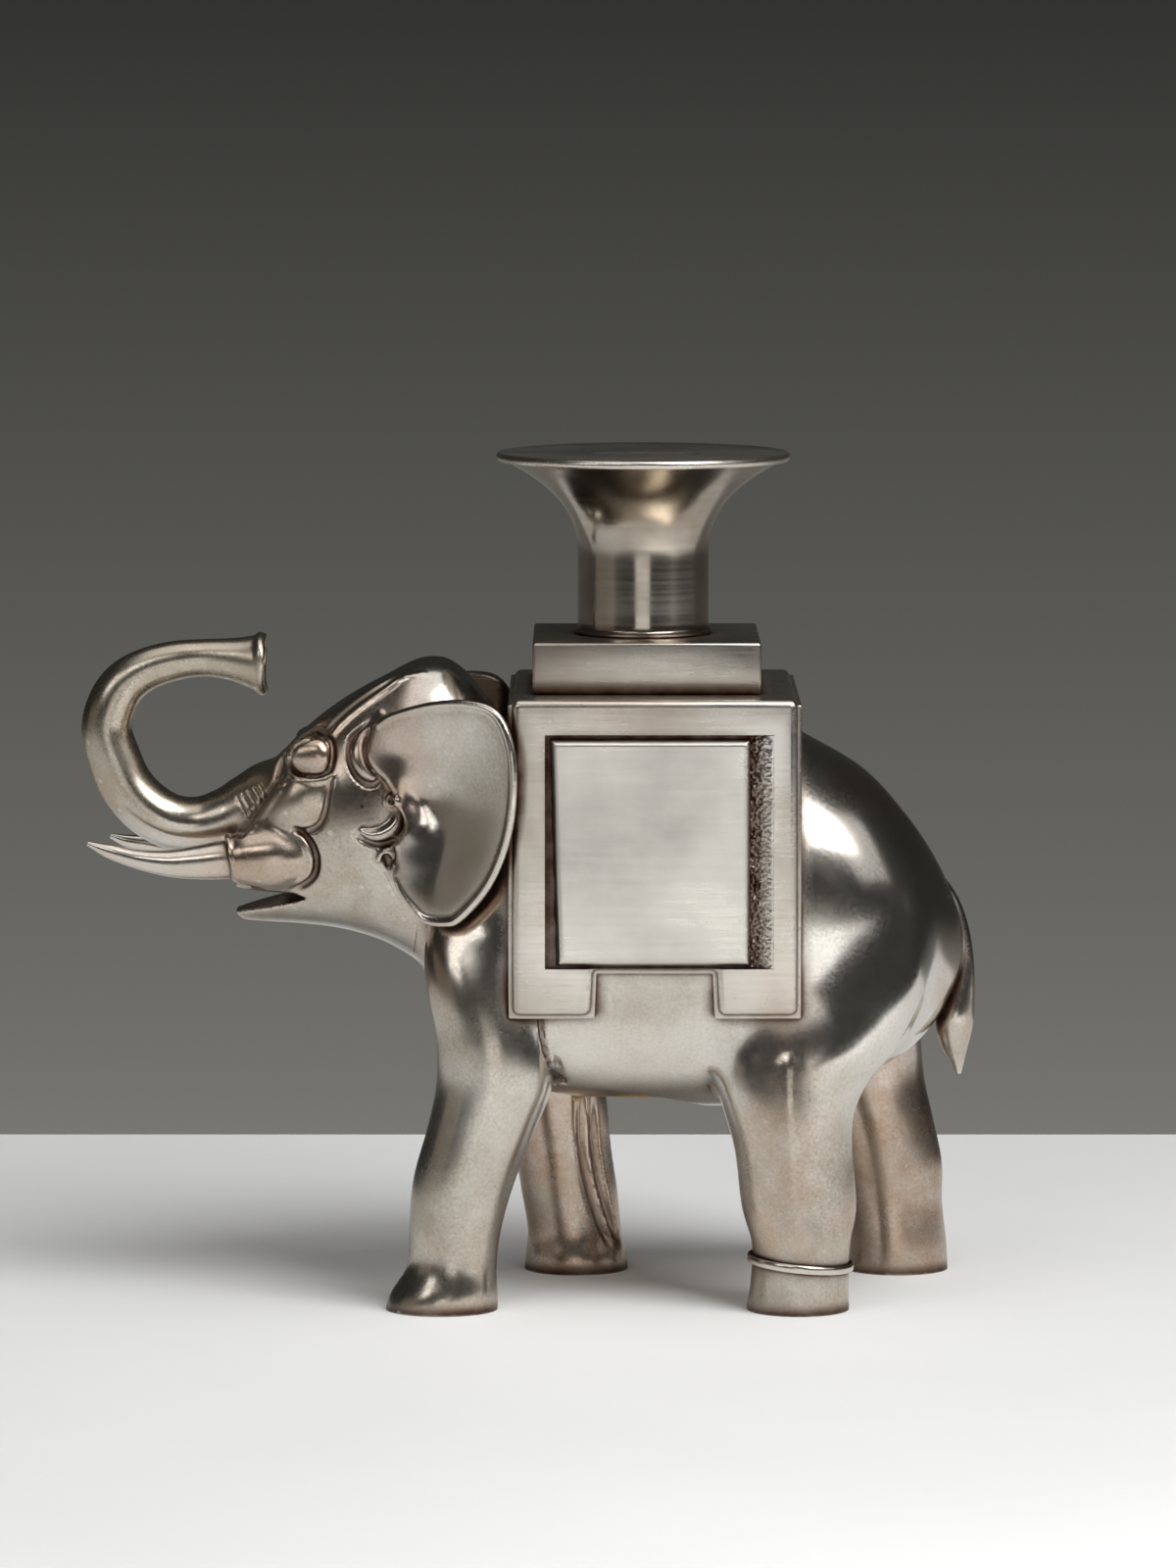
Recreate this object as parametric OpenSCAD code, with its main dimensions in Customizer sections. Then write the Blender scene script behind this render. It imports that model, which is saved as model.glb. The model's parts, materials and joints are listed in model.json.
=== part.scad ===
// Cast elephant coin bank: a walking elephant carries a box saddle, a square plinth and a
// flared coin neck. Coins drop through the neck into the hollow body and leave by a locked
// trap in the belly. Head toward -X, tail toward +X, the elephant's left side toward -Y, +Z up.
// All lengths are in millimetres and the soles stand on Z = 0.

/* [Body] */
// Half width of the barrel under the saddle
barrel_half = 46.5; // [38:0.5:47]
// Wall of the hollow body castings
wall = 3.5; // [2.5:0.1:5]
// Height of the lowest point of the belly
belly_z = 55; // [50:0.5:60]
// Distance of the foot centres from the middle plane
foot_y = 35; // [30:0.5:38]
// Radius of the sole of a foot, across the body
sole_r = 14.4; // [12:0.1:15]
// Plane where the head casting meets the body
neck_x = -20; // [-24:0.5:-16]

/* [Head] */
// Half width of the skull at the ears
skull_half = 29; // [24:0.5:31]
// Depth of the furrow between the two domes of the forehead
furrow = 3.2; // [0:0.1:4]
// Distance of the tusks from the middle plane
tusk_y = 17; // [14:0.5:19]
// How much shorter the right tusk is
right_tusk_cut = 4.5; // [0:0.5:8]
// Overall scale of the trunk thickness
trunk_girth = 1.0; // [0.85:0.01:1.1]
// Depth of the dish of an ear
ear_dish = 5; // [2:0.1:6]
// Thickness of an ear
ear_t = 3; // [2.4:0.1:4]

/* [Saddle] */
// Length of the saddle box
saddle_l = 81.5; // [76:0.5:84]
// Depth of the saddle box across the body
saddle_d = 97; // [96:0.5:99]
// Height of the saddle top
saddle_top = 177.5; // [176.5:0.1:180]
// Height of the lower edge of the saddle between its tabs
saddle_low = 100; // [94:0.5:106]
// Height of the bottom of the four saddle tabs
tab_low = 87; // [82:0.5:92]
// Length of a saddle tab
tab_l = 22.5; // [16:0.5:26]
// Length of the raised side panels
panel_l = 56.5; // [48:0.5:60]
// Height of the raised side panels
panel_h = 65; // [58:0.5:68]
// How far a side panel stands out of the saddle
panel_t = 1.8; // [1:0.1:2.5]

/* [Coin neck] */
// Side of the square plinth
plinth_side = 65.5; // [58:0.5:68]
// Height of the plinth
plinth_h = 15; // [12:0.1:17]
// Outside radius of the straight neck
neck_r = 19; // [18:0.1:20]
// Inside radius of the neck, wide enough for the largest coin
neck_bore = 16.5; // [15.5:0.1:17]
// Height of the neck with its flare
neck_h = 50.1; // [46:0.1:54]
// Height of the straight part of the neck
straight_h = 22; // [18:0.5:30]
// Outside radius of the flare at its mouth
mouth_r = 40; // [36:0.5:41]
// Radius of the slotted disc
disc_r = 42.6; // [41.5:0.1:45]
// Thickness of the slotted disc
disc_t = 2.6; // [2:0.1:4]
// Length of the coin slot
slot_l = 32; // [28:0.5:33]
// Width of the coin slot
slot_w = 5; // [4.6:0.1:6]

/* [Trap] */
// Outside radius of the trap ring
ring_r = 22; // [21:0.5:24]
// Clear radius through the trap ring
ring_bore = 16.5; // [15:0.5:17]
// Radius of the trap door
door_r = 18.5; // [18:0.1:19]
// Thickness of the trap door
door_t = 2.6; // [2:0.1:3]
// Height of the underside of the closed trap
trap_z = 59.6; // [59:0.1:62]
// Radius of the hinge pin
pin_r = 0.8; // [0.6:0.05:1]
// Radius of the lock barrel
lock_r = 4; // [3.5:0.1:4.5]

/* [Hidden] */
// Middle lines and heights of the stack on the back
axis_x = 33.2;
saddle_x = 36.25;
panel_x = 35;
plinth_x = 34.1;
panel_z = (saddle_low + saddle_top) / 2 - 5;
panel_slope = 1.6;
plinth_z = saddle_top + plinth_h;
disc_z = plinth_z + neck_h;
back_z = saddle_top - 2.5;
chute_r = neck_r - 1;
chute_low = 27;
spigot_r = 33;
// Room past a solid so that a cut passes clean through it, and where cuts up through the back begin
past = 60;
inside_z = 120;
// Solid front end of the hollow body, and the root of an ear in the head
hollow_front = 14;
ear_root = [-32, 149];
ear_root_r = 7;
ear_root_y = 22;
ear_root_l = 12.6;
ear_centre = [-25, 146];
// Anklet band
anklet_at = [78.4, -foot_y, 13.8];
anklet_tilt = 5.4;
anklet_in = 14.4;
anklet_out = 15.5;
anklet_half = 1.2;
// Screws: a pair across the body and four up into the plinth
screw_r = 2;
screw_head_r = 3.8;
screw_head_h = 2.4;
screw_play = 0.2;
slit_w = 1.2;
tie_x = [2, 70];
tie_z = 120;
tie_tip = -24;
tie_seat = 38;
tie_boss_r = 6;
screw_dx = 26;
screw_dy = 9;
screw_grip = 8;
pad_z = 165;
pad_r = 5;
pocket_h = 14;
// Trap, its hinge and its lock
ring_h = 5.5;
seat_r = ring_r + 4;
hinge_x = axis_x - ring_r + 2.8;
hinge_z = trap_z - 1.9;
hinge_half = 3.4;
lug_y = 5.2;
lug_w = 2.8;
lug_r = 1.6;
knuckle_r = 1.5;
lock_x = axis_x + 8;
stem_r = 2;
cam_z = trap_z + ring_h + 0.4;
cam_t = 1.8;
cam_r = 3.6;
cam_half = 2.6;
cam_l = 10.5;
nut_h = 2.4;
// Colours
silver = [0.75, 0.72, 0.68];
bright = [0.82, 0.80, 0.77];
brass = [0.72, 0.60, 0.36];
steel = [0.55, 0.55, 0.57];

// Smooth curve through the rows of a small table; t counts rows from 0.
function curve(rows, t) =
    let (n = len(rows) - 1, i = min(floor(t), n - 1), u = t - i)
    let (b = rows[i], c = rows[i + 1])
    let (a = i > 0 ? rows[i - 1] : 2 * b - c)
    let (d = i + 2 <= n ? rows[i + 2] : 2 * c - b)
    0.5 * (2 * b + (c - a) * u + (2 * a - 5 * b + 4 * c - d) * u * u
        + (3 * b - a - 3 * c + d) * u * u * u);

// The table refined to a number of steps for each of its rows.
function fine(rows, steps) =
    [for (i = [0 : steps * (len(rows) - 1)]) curve(rows, i / steps)];

// A closed outline refined in the same way.
function fine_loop(rows, steps) =
    let (n = len(rows))
    let (open = [for (i = [-2 : n + 2]) rows[(i + n) % n]])
    [for (i = [0 : steps * n - 1]) curve(open, 2 + i / steps)];

function sgn_pow(v, e) = sign(v) * pow(abs(v), e);
function unit(v) = v / norm(v);
function middle(ring) = [for (k = [0 : 2]) [for (p = ring) p[k]] * [for (p = ring) 1]] / len(ring);

// Skin over a stack of equal rings, each end closed on its own middle point.
module skin(rings) {
    n = len(rings[0]);
    m = len(rings);
    points = concat([for (r = rings) each r], [middle(rings[0]), middle(rings[m - 1])]);
    sides = [for (i = [0 : m - 2], k = [0 : n - 1])
        let (a = i * n + k, b = i * n + (k + 1) % n)
        each [[a, a + n, b + n], [a, b + n, b]]];
    first = [for (k = [0 : n - 1]) [m * n, k, (k + 1) % n]];
    last = [for (k = [0 : n - 1]) [m * n + 1, (m - 1) * n + (k + 1) % n, (m - 1) * n + k]];
    polyhedron(points = points, faces = concat(sides, first, last), convexity = 8);
}

// Round bar along a curve: rows of x, y, z, radius and width across relative to it.
module bar(rows, steps, sides) {
    path = fine(rows, steps);
    m = len(path);
    skin([for (i = [0 : m - 1])
        let (p = path[i], q = path[min(i + 1, m - 1)], o = path[max(i - 1, 0)])
        let (t = unit([q[0] - o[0], q[1] - o[1], q[2] - o[2]]))
        let (u = unit([0, 1, 0] - t[1] * t), v = cross(t, u))
        [for (k = [0 : sides - 1])
            let (a = 360 * k / sides)
            [p[0], p[1], p[2]] + p[3] * (p[4] * cos(a) * u + sin(a) * v)]]);
}

// Barrel of the body: rows of x, half width, top and bottom, squarish across.
function barrel_rows() = [
    [-30, 12, 112, 88], [-25, 24, 128, 77], [-16, 36, 150, 69], [-4, 43.5, 166, 62],
    [14, barrel_half, back_z - 1, belly_z + 2.5], [38, barrel_half, back_z, belly_z + 0.6],
    [60, barrel_half, back_z - 1, belly_z], [79, 45.5, 163.6, belly_z + 3.5],
    [97, 40.5, 153, 64], [109, 33, 140.4, 70], [118, 24, 127.4, 79], [124, 13, 114.5, 90],
    [126.5, 4, 106, 98]];

module barrel(inset, steps, sides) {
    rows = fine(barrel_rows(), steps);
    x0 = rows[0][0];
    x1 = rows[len(rows) - 1][0];
    front = inset > 0 ? hollow_front : 0;
    squeeze = (x1 - x0 - front - 1.4 * inset) / (x1 - x0);
    skin([for (r = rows)
        let (x = x0 + front + (r[0] - x0) * squeeze)
        let (zm = (r[2] + r[3]) / 2, h = max((r[2] - r[3]) / 2 - inset, 2))
        let (w = max(r[1] - inset, 2))
        [for (k = [0 : sides - 1])
            let (a = 360 * (k + 0.5) / sides)
            [x, w * sgn_pow(cos(a), 0.8), zm + h * sgn_pow(sin(a), 0.86)]]]);
}

// A leg: rows of z, x of the axis, half length, half width and distance from the middle.
module leg(rows, side, sides) {
    skin([for (r = fine(rows, 2))
        [for (k = [0 : sides - 1])
            let (a = 360 * k / sides)
            [r[1] + r[2] * cos(a), side * r[4] + r[3] * sin(a), r[0]]]]);
}

function fore_left() = [
    [0, -25, 16.2, sole_r, foot_y], [5, -24.2, 15.4, sole_r, foot_y], [13, -22, 12.9, 12.6, foot_y],
    [24, -21, 13.4, 12.4, foot_y], [38, -18.3, 14.8, 12.8, foot_y], [53, -13.2, 15.8, 13.4, 34.8],
    [66, -9.6, 16.8, 14, 34.4], [80, -10.4, 16.4, 14.2, 33.6], [95, -13, 16.6, 13, 32],
    [108, -13, 16.4, 10, 30], [120, -11, 14, 6, 27]];
function fore_right() = [
    [0, 13.7, 15.4, sole_r, foot_y], [5, 13.6, 14.8, sole_r, foot_y], [12, 13.2, 13.9, 12.8, foot_y],
    [24, 11.6, 14.3, 12.4, foot_y], [37, 9.6, 14.4, 12.8, foot_y], [52, 7, 15.6, 13.4, 34.8],
    [66, 2, 17.6, 14, 34.4], [80, -5, 18, 14.2, 33.6], [95, -10, 17, 13, 32],
    [108, -11, 16.4, 10, 30], [120, -10, 14, 6, 27]];
function hind_left() = [
    [0, 77.7, 14.8, sole_r, foot_y], [8, 78.2, 14.2, 14.2, foot_y], [19, 78.6, 14.2, 14.2, foot_y],
    [30, 78, 16.6, 13.8, foot_y], [46, 76.4, 17, 13.8, foot_y], [57, 75.2, 18.8, 14, 34.8],
    [66, 76, 22, 14.2, 34], [76, 80, 26, 14.2, 33], [90, 85, 27, 12.6, 31],
    [105, 88, 24, 9, 28], [120, 89, 18, 5, 24]];
function hind_right() = [
    [0, 108.8, 15.3, sole_r, foot_y], [8, 109, 14.7, 14.2, foot_y], [20, 107.8, 14.6, 13.6, foot_y],
    [32, 106.6, 15.7, 13.6, foot_y], [46, 103.4, 16, 13.8, foot_y], [57, 99.6, 17.4, 14, 34.8],
    [68, 95, 21, 14.2, 34], [78, 91, 24.5, 14.2, 33], [91, 88, 25.5, 12.6, 31],
    [105, 88, 23, 9, 28], [120, 89, 17, 5, 24]];

// Skull and neck: rows of x, half width, top, bottom and height of the widest line.
module skull() {
    n = 30;
    rows = fine([[-85, 9, 137, 110.4, 122], [-82.5, 13, 146, 109, 125], [-76, 18.8, 155, 108.4, 129],
        [-66, 23, 165.4, 107.8, 136], [-54, 26.5, 174.6, 106.2, 140], [-42, 28.6, 181.6, 102.4, 142],
        [-30, skull_half, 186.8, 96, 143], [-20, 27.5, 184.4, 94, 142], [-8, 24, 173.5, 100, 138],
        [4, 20, 166, 106, 135]], 2);
    skin([for (r = rows)
        [for (k = [0 : n - 1])
            let (a = 360 * (k + 0.5) / n, y = r[1] * sgn_pow(cos(a), 0.9))
            let (s = sgn_pow(sin(a), 0.92), dip = furrow * max(s, 0) * exp(-pow(y / 7, 2)))
            [r[0], y, r[4] + (s > 0 ? r[2] - r[4] : r[4] - r[3]) * s - dip]]]);
}

// Swollen sleeve on the cheek that holds a tusk.
module tusk_sleeve(side) {
    bar([[-86, side * tusk_y, 128.6, 6.6, 1], [-81, side * tusk_y, 128.8, 8.2, 1],
        [-73, side * (tusk_y - 1), 129, 9.8, 1], [-65, side * (tusk_y - 2), 129.6, 8.6, 1],
        [-58, side * (tusk_y - 4), 131, 4, 1]], 2, 16);
}

module eye(side) {
    bar([[-67.5, side * 20.4, 157.4, 1.2, 1], [-65, side * 21.6, 157.8, 3.4, 0.8],
        [-61.5, side * 22.6, 158.4, 4.6, 0.7], [-58, side * 23.6, 158.6, 3.6, 0.8],
        [-55.5, side * 23.6, 158.6, 1.2, 1]], 1, 10);
}

module head_solid() {
    union() {
        skull();
        tusk_sleeve(-1);
        tusk_sleeve(1);
        eye(-1);
        eye(1);
    }
}

// Open mouth: a wedge between the cheeks and the lower lip.
module mouth() {
    translate([0, 40, 0]) rotate([90, 0, 0]) linear_extrude(80)
        polygon([[-92, 113], [-92, 119.6], [-68, 118.2], [-65.4, 116.8], [-68, 115.6], [-84, 111.6]]);
}

module front_of_neck() {
    translate([neck_x - 100, -60, 60]) cube([100, 120, 150]);
}

module head() {
    color(silver) difference() {
        intersection() {
            head_solid();
            front_of_neck();
        }
        mouth();
        ear_stub(-1, ear_root_r + 0.05);
        ear_stub(1, ear_root_r + 0.05);
    }
}

// Round root of an ear, sunk into the side of the head.
module ear_stub(side, r) {
    translate([ear_root[0], 0, ear_root[1]]) rotate([-side * 90, 0, 0]) translate([0, 0, ear_root_y])
        cylinder(r = r, h = ear_root_l, $fn = 24);
}

// Ear outline in x and z, from the top round the rear edge to the lobe and the front fold.
function ear_loop() = [
    [-24, 176.6], [-13.5, 177.2], [-6.6, 171.6], [-3.6, 161], [-3.4, 149], [-5.2, 137.4],
    [-9.6, 126], [-16.6, 116.6], [-24.6, 111.8], [-33, 117.8], [-38.4, 128], [-37, 140],
    [-41.6, 152], [-46, 162.6], [-36.6, 171.4]];

function ear_y(x) = 30.4 + 0.53 * (x + 45);

module ear(side) {
    loop = fine_loop(ear_loop(), 3);
    c = ear_centre;
    outer = [[0.12, 1], [0.5, 0.8], [0.78, 0.38], [0.92, 0], [1, -0.04]];
    inner = [[1, 0], [0.8, 0.28], [0.12, 0.6]];
    back = ear_t - 0.2;
    front_rings = [for (f = outer)
        [for (p = loop)
            let (q = c + f[0] * (p - c))
            [q[0], -ear_y(q[0]) + ear_dish * f[1] - (f[0] > 0.9 ? 0.6 : 0), q[1]]]];
    back_rings = [for (f = inner)
        [for (p = loop)
            let (q = c + f[0] * (p - c))
            [q[0], -ear_y(q[0]) + back + ear_dish * f[1], q[1]]]];
    mirror([0, side > 0 ? 1 : 0, 0]) union() {
        difference() {
            skin(concat(front_rings, back_rings));
            skull();
        }
        ear_stub(-1, ear_root_r);
    }
}

module left_ear() { color(silver) ear(-1); }
module right_ear() { color(silver) ear(1); }

module trunk() {
    g = trunk_girth;
    color(silver) difference() {
        bar([[-66, 0, 146, 11 * g, 1.25], [-74, 0, 144.6, 10.8 * g, 1.2], [-80.5, 0, 141.8, 9.8 * g, 1.12],
            [-87.5, 0, 138.6, 8.8 * g, 1.05], [-95.6, 0, 136.6, 8.1 * g, 1], [-104, 0, 137.4, 8 * g, 1],
            [-111.2, 0, 141.5, 8 * g, 1], [-116.8, 0, 147.8, 7.8 * g, 1], [-120.4, 0, 155.6, 7.7 * g, 1],
            [-122.7, 0, 164.1, 7.4 * g, 1], [-120.8, 0, 172, 7.2 * g, 1], [-117, 0, 178, 6.7 * g, 1],
            [-110.8, 0, 182, 6.1 * g, 1], [-102.3, 0, 184.4, 5.7 * g, 1], [-94, 0, 185.2, 5.5 * g, 1],
            [-86, 0, 184.8, 6.3 * g, 1], [-80.2, 0, 184.2, 7.8 * g, 1], [-77, 0, 183.8, 8.9 * g, 1]],
            2, 16);
        head_solid();
        translate([-75.4, 0, 183.6]) sphere(r = 6.6, $fn = 20);
    }
}

module tusk(side, cut) {
    k = cut / 46;
    color(bright) difference() {
        bar([[-72, side * tusk_y, 128.8, 5.2, 1], [-80, side * tusk_y, 128.8, 5.4, 1],
            [-88, side * (tusk_y + 0.3), 128.2, 5.6, 1], [-96 + 4 * k, side * (tusk_y + 0.6), 127.5, 4.9, 1],
            [-104 + 14 * k, side * (tusk_y + 0.9), 127.3, 3.9, 1],
            [-113 + 24 * k, side * (tusk_y + 1), 128.5, 2.8, 1],
            [-121 + 36 * k, side * (tusk_y + 0.8), 130.7 - 12 * k, 2, 1],
            [-127.3 + 46 * k, side * (tusk_y + 0.4), 133 - 18 * k, 0.7, 1]], 2, 14);
        head_solid();
    }
}

module left_tusk() { tusk(-1, 0); }
module right_tusk() { tusk(1, right_tusk_cut); }

// Solid shape of one half casting before it is hollowed.
module body_solid(side) {
    union() {
        barrel(0, 2, 32);
        skull();
        leg(side < 0 ? fore_left() : fore_right(), side, 16);
        leg(side < 0 ? hind_left() : hind_right(), side, 16);
    }
}

module body_half(side) {
    color(silver) difference() {
        intersection() {
            body_solid(side);
            translate([-60, side > 0 ? 0 : -70, 0]) cube([200, 70, 200]);
        }
        difference() {
            barrel(wall, 1, 24);
            for (x = tie_x) translate([x, past, tie_z]) rotate([90, 0, 0])
                cylinder(r = tie_boss_r, h = 2 * past, $fn = 16);
            for (sx = [-1, 1]) translate([axis_x + sx * screw_dx, side * screw_dy, pad_z])
                cylinder(r = pad_r, h = past, $fn = 16);
            translate([axis_x, 0, trap_z + ring_h - past]) cylinder(r = seat_r, h = past, $fn = 32);
        }
        front_of_head_gap();
        translate([axis_x, 0, inside_z]) cylinder(r = chute_r + screw_play, h = 2 * past, $fn = 36);
        translate([axis_x, 0, 0]) cylinder(r = ring_r + 0.05, h = trap_z + ring_h + 10, $fn = 36);
        for (x = tie_x) translate([x, side > 0 ? 0 : tie_tip - 1, tie_z]) rotate([-90, 0, 0])
            cylinder(r = screw_r + screw_play / 2, h = past, $fn = 16);
        if (side > 0) for (x = tie_x) translate([x, tie_seat, tie_z]) rotate([-90, 0, 0])
            cylinder(r = screw_head_r + 2 * screw_play, h = past, $fn = 16);
        for (sx = [-1, 1]) translate([axis_x + sx * screw_dx, side * screw_dy, pad_z - pocket_h]) {
            cylinder(r = screw_r + screw_play, h = past, $fn = 16);
            cylinder(r = screw_head_r + 0.5, h = pocket_h, $fn = 16);
        }
    }
}

// Room taken by the head casting in front of the neck plane.
module front_of_head_gap() {
    intersection() {
        skull();
        front_of_neck();
    }
    translate([neck_x - 30, -45, 108]) cube([30, 90, 90]);
}

module body_left() { body_half(-1); }
module body_right() { body_half(1); }

module tail() {
    color(silver) difference() {
        bar([[118, 0, 121, 2.6, 1], [122.4, 0, 114, 2.9, 1], [125.2, 0, 106, 3, 1], [126.6, 0, 97, 3.1, 1],
            [126.2, 0, 89, 3.9, 1.1], [124.4, 0, 80.6, 5.6, 1.05], [124.2, 0, 73.6, 4.6, 1.05],
            [125, 0, 67.4, 2.2, 1], [125.4, 0, 63.4, 0.8, 1]], 2, 12);
        barrel(0, 2, 32);
    }
}

module anklet() {
    h = anklet_half;
    color(bright) translate(anklet_at) rotate([0, anklet_tilt, 0]) rotate_extrude($fn = 48)
        polygon([[anklet_in, -h], [anklet_out - 0.5, -h], [anklet_out, -h / 2], [anklet_out, h / 2],
            [anklet_out - 0.5, h], [anklet_in, h]]);
}

module saddle() {
    x0 = saddle_x - saddle_l / 2;
    x1 = saddle_x + saddle_l / 2;
    color(silver) difference() {
        translate([0, saddle_d / 2, 0]) rotate([90, 0, 0]) linear_extrude(saddle_d)
            polygon([[x0, saddle_top], [x0, tab_low], [x0 + tab_l, tab_low], [x0 + tab_l + 0.6, saddle_low],
                [x1 - tab_l - 0.6, saddle_low], [x1 - tab_l, tab_low], [x1, tab_low], [x1, saddle_top]]);
        for (s = [-1, 1]) body_solid(s);
        translate([axis_x, 0, inside_z]) cylinder(r = chute_r + screw_play, h = 2 * past, $fn = 48);
        for (sx = [-1, 1], sy = [-1, 1]) translate([axis_x + sx * screw_dx, sy * screw_dy, inside_z])
            cylinder(r = screw_r + screw_play, h = 2 * past, $fn = 24);
    }
}

// Raised plate on one face of the saddle, with a sloping edge all round.
module panel(side) {
    e = panel_slope;
    thin = 0.4;
    color(bright) mirror([0, side > 0 ? 1 : 0, 0])
        translate([panel_x, -saddle_d / 2, panel_z]) hull() {
            translate([-panel_l / 2, -thin, -panel_h / 2]) cube([panel_l, thin, panel_h]);
            translate([-panel_l / 2 + e, -panel_t, -panel_h / 2 + e])
                cube([panel_l - 2 * e, thin, panel_h - 2 * e]);
        }
}

module left_panel() { panel(-1); }
module right_panel() { panel(1); }

module plinth() {
    color(bright) difference() {
        translate([plinth_x - plinth_side / 2, -plinth_side / 2, saddle_top])
            cube([plinth_side, plinth_side, plinth_h]);
        translate([axis_x, 0, inside_z]) cylinder(r = chute_r + 0.05, h = 2 * past, $fn = 64);
        for (sx = [-1, 1], sy = [-1, 1]) translate([axis_x + sx * screw_dx, sy * screw_dy, inside_z])
            cylinder(r = screw_r + 0.05, h = saddle_top + screw_grip + 1 - inside_z, $fn = 24);
    }
}

// Outside radius of the neck at a height above the plinth.
function flare(z) = neck_r + (mouth_r - neck_r)
    * pow(max(z - straight_h, 0) / (neck_h - straight_h), 2.6);

module neck() {
    steps = 10;
    up = [for (i = [0 : steps]) straight_h + (neck_h - straight_h) * i / steps];
    outside = [for (z = up) [flare(z), z]];
    inside = [for (i = [steps : -1 : 0]) [flare(up[i]) - (neck_r - neck_bore), up[i]]];
    color(bright) translate([axis_x, 0, plinth_z]) rotate_extrude($fn = 64)
        polygon(concat([[neck_bore, -chute_low], [chute_r, -chute_low], [chute_r, 0], [neck_r + 0.8, 0],
            [neck_r + 0.3, 0.5], [neck_r, 1.3]], outside, inside));
}

module slot_disc() {
    color(bright) translate([axis_x, 0, disc_z]) difference() {
        union() {
            rotate_extrude($fn = 96)
                polygon([[0, 0], [disc_r - 0.6, 0], [disc_r, 0.7], [disc_r, disc_t - 0.7],
                    [disc_r - 0.6, disc_t], [0, disc_t]]);
            translate([0, 0, -1.4]) cylinder(r = spigot_r, h = 2, $fn = 64);
        }
        translate([-slot_l / 2, -slot_w / 2, -5]) cube([slot_l, slot_w, 12]);
    }
}

module trap_ring() {
    color(brass) difference() {
        union() {
            translate([axis_x, 0, trap_z]) cylinder(r = ring_r, h = ring_h, $fn = 64);
            for (s = [-1, 1]) translate([hinge_x, s * lug_y - lug_w / 2, hinge_z]) {
                translate([-lug_r, 0, 0]) cube([2 * lug_r, lug_w, trap_z - hinge_z + 0.5]);
                rotate([-90, 0, 0]) cylinder(r = lug_r, h = lug_w, $fn = 24);
            }
        }
        translate([axis_x, 0, trap_z - 1]) cylinder(r = ring_bore, h = 20, $fn = 64);
        translate([axis_x, 0, trap_z - 1]) cylinder(r = door_r + 0.3, h = door_t + 1.1, $fn = 64);
        translate([hinge_x, -10, hinge_z]) rotate([-90, 0, 0]) cylinder(r = pin_r, h = 20, $fn = 24);
    }
}

module trap_door() {
    color(brass) difference() {
        union() {
            translate([axis_x, 0, trap_z]) cylinder(r = door_r, h = door_t, $fn = 64);
            translate([hinge_x, -hinge_half, hinge_z]) {
                rotate([-90, 0, 0]) cylinder(r = knuckle_r, h = 2 * hinge_half, $fn = 24);
                cube([12, 2 * hinge_half, 1.2]);
                translate([4, 0, 0]) cube([8, 2 * hinge_half, 2.2]);
            }
        }
        translate([hinge_x, -10, hinge_z]) rotate([-90, 0, 0])
            cylinder(r = pin_r + 0.05, h = 20, $fn = 24);
        translate([lock_x, 0, trap_z - 5]) cylinder(r = lock_r + 0.05, h = 20, $fn = 48);
    }
}

module hinge_pin() {
    color(steel) translate([hinge_x, -6.6, hinge_z]) rotate([-90, 0, 0])
        cylinder(r = pin_r, h = 13.2, $fn = 24);
}

module lock_barrel() {
    color(brass) translate([lock_x, 0, 0]) difference() {
        union() {
            translate([0, 0, trap_z - 0.4]) cylinder(r = lock_r, h = cam_z - trap_z + 0.4, $fn = 48);
            translate([0, 0, trap_z - 1.6]) cylinder(r = lock_r + 1.2, h = 1.4, $fn = 48);
            translate([0, 0, cam_z - 1]) cylinder(r = stem_r, h = 6, $fn = 32);
        }
        translate([-slit_w / 2, -2.6, trap_z - 3]) cube([slit_w, 5.2, 7]);
    }
}

module lock_cam() {
    color(steel) translate([lock_x, 0, cam_z]) difference() {
        union() {
            cylinder(r = cam_r, h = cam_t, $fn = 48);
            translate([-cam_half, 0, 0]) cube([2 * cam_half, cam_l, cam_t]);
        }
        translate([0, 0, -1]) cylinder(r = stem_r, h = cam_t + 2, $fn = 32);
    }
}

module cam_nut() {
    color(steel) translate([lock_x, 0, cam_z + cam_t]) difference() {
        cylinder(r = cam_r, h = nut_h, $fn = 6);
        translate([0, 0, -1]) cylinder(r = stem_r, h = nut_h + 2, $fn = 32);
    }
}

module tie_screws() {
    color(steel) for (x = tie_x) translate([x, 0, tie_z]) rotate([-90, 0, 0]) difference() {
        union() {
            translate([0, 0, tie_tip]) cylinder(r = screw_r, h = tie_seat - tie_tip + 0.5, $fn = 32);
            translate([0, 0, tie_seat]) cylinder(r = screw_head_r, h = screw_head_h, $fn = 32);
        }
        translate([-slit_w / 2, -5, tie_seat + screw_head_h - 1]) cube([slit_w, 10, 2]);
    }
}

module plinth_screws() {
    color(steel) for (sx = [-1, 1], sy = [-1, 1])
        translate([axis_x + sx * screw_dx, sy * screw_dy, 0]) difference() {
            union() {
                translate([0, 0, pad_z]) cylinder(r = screw_r, h = saddle_top + screw_grip - pad_z, $fn = 32);
                translate([0, 0, pad_z - screw_head_h]) cylinder(r = screw_head_r, h = screw_head_h, $fn = 32);
            }
            translate([-5, -slit_w / 2, pad_z - screw_head_h - 0.6]) cube([10, slit_w, 1.6]);
        }
}

body_left();
body_right();
head();
left_ear();
right_ear();
trunk();
left_tusk();
right_tusk();
tail();
anklet();
saddle();
left_panel();
right_panel();
plinth();
neck();
slot_disc();
trap_ring();
trap_door();
hinge_pin();
lock_barrel();
lock_cam();
cam_nut();
tie_screws();
plinth_screws();
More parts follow.
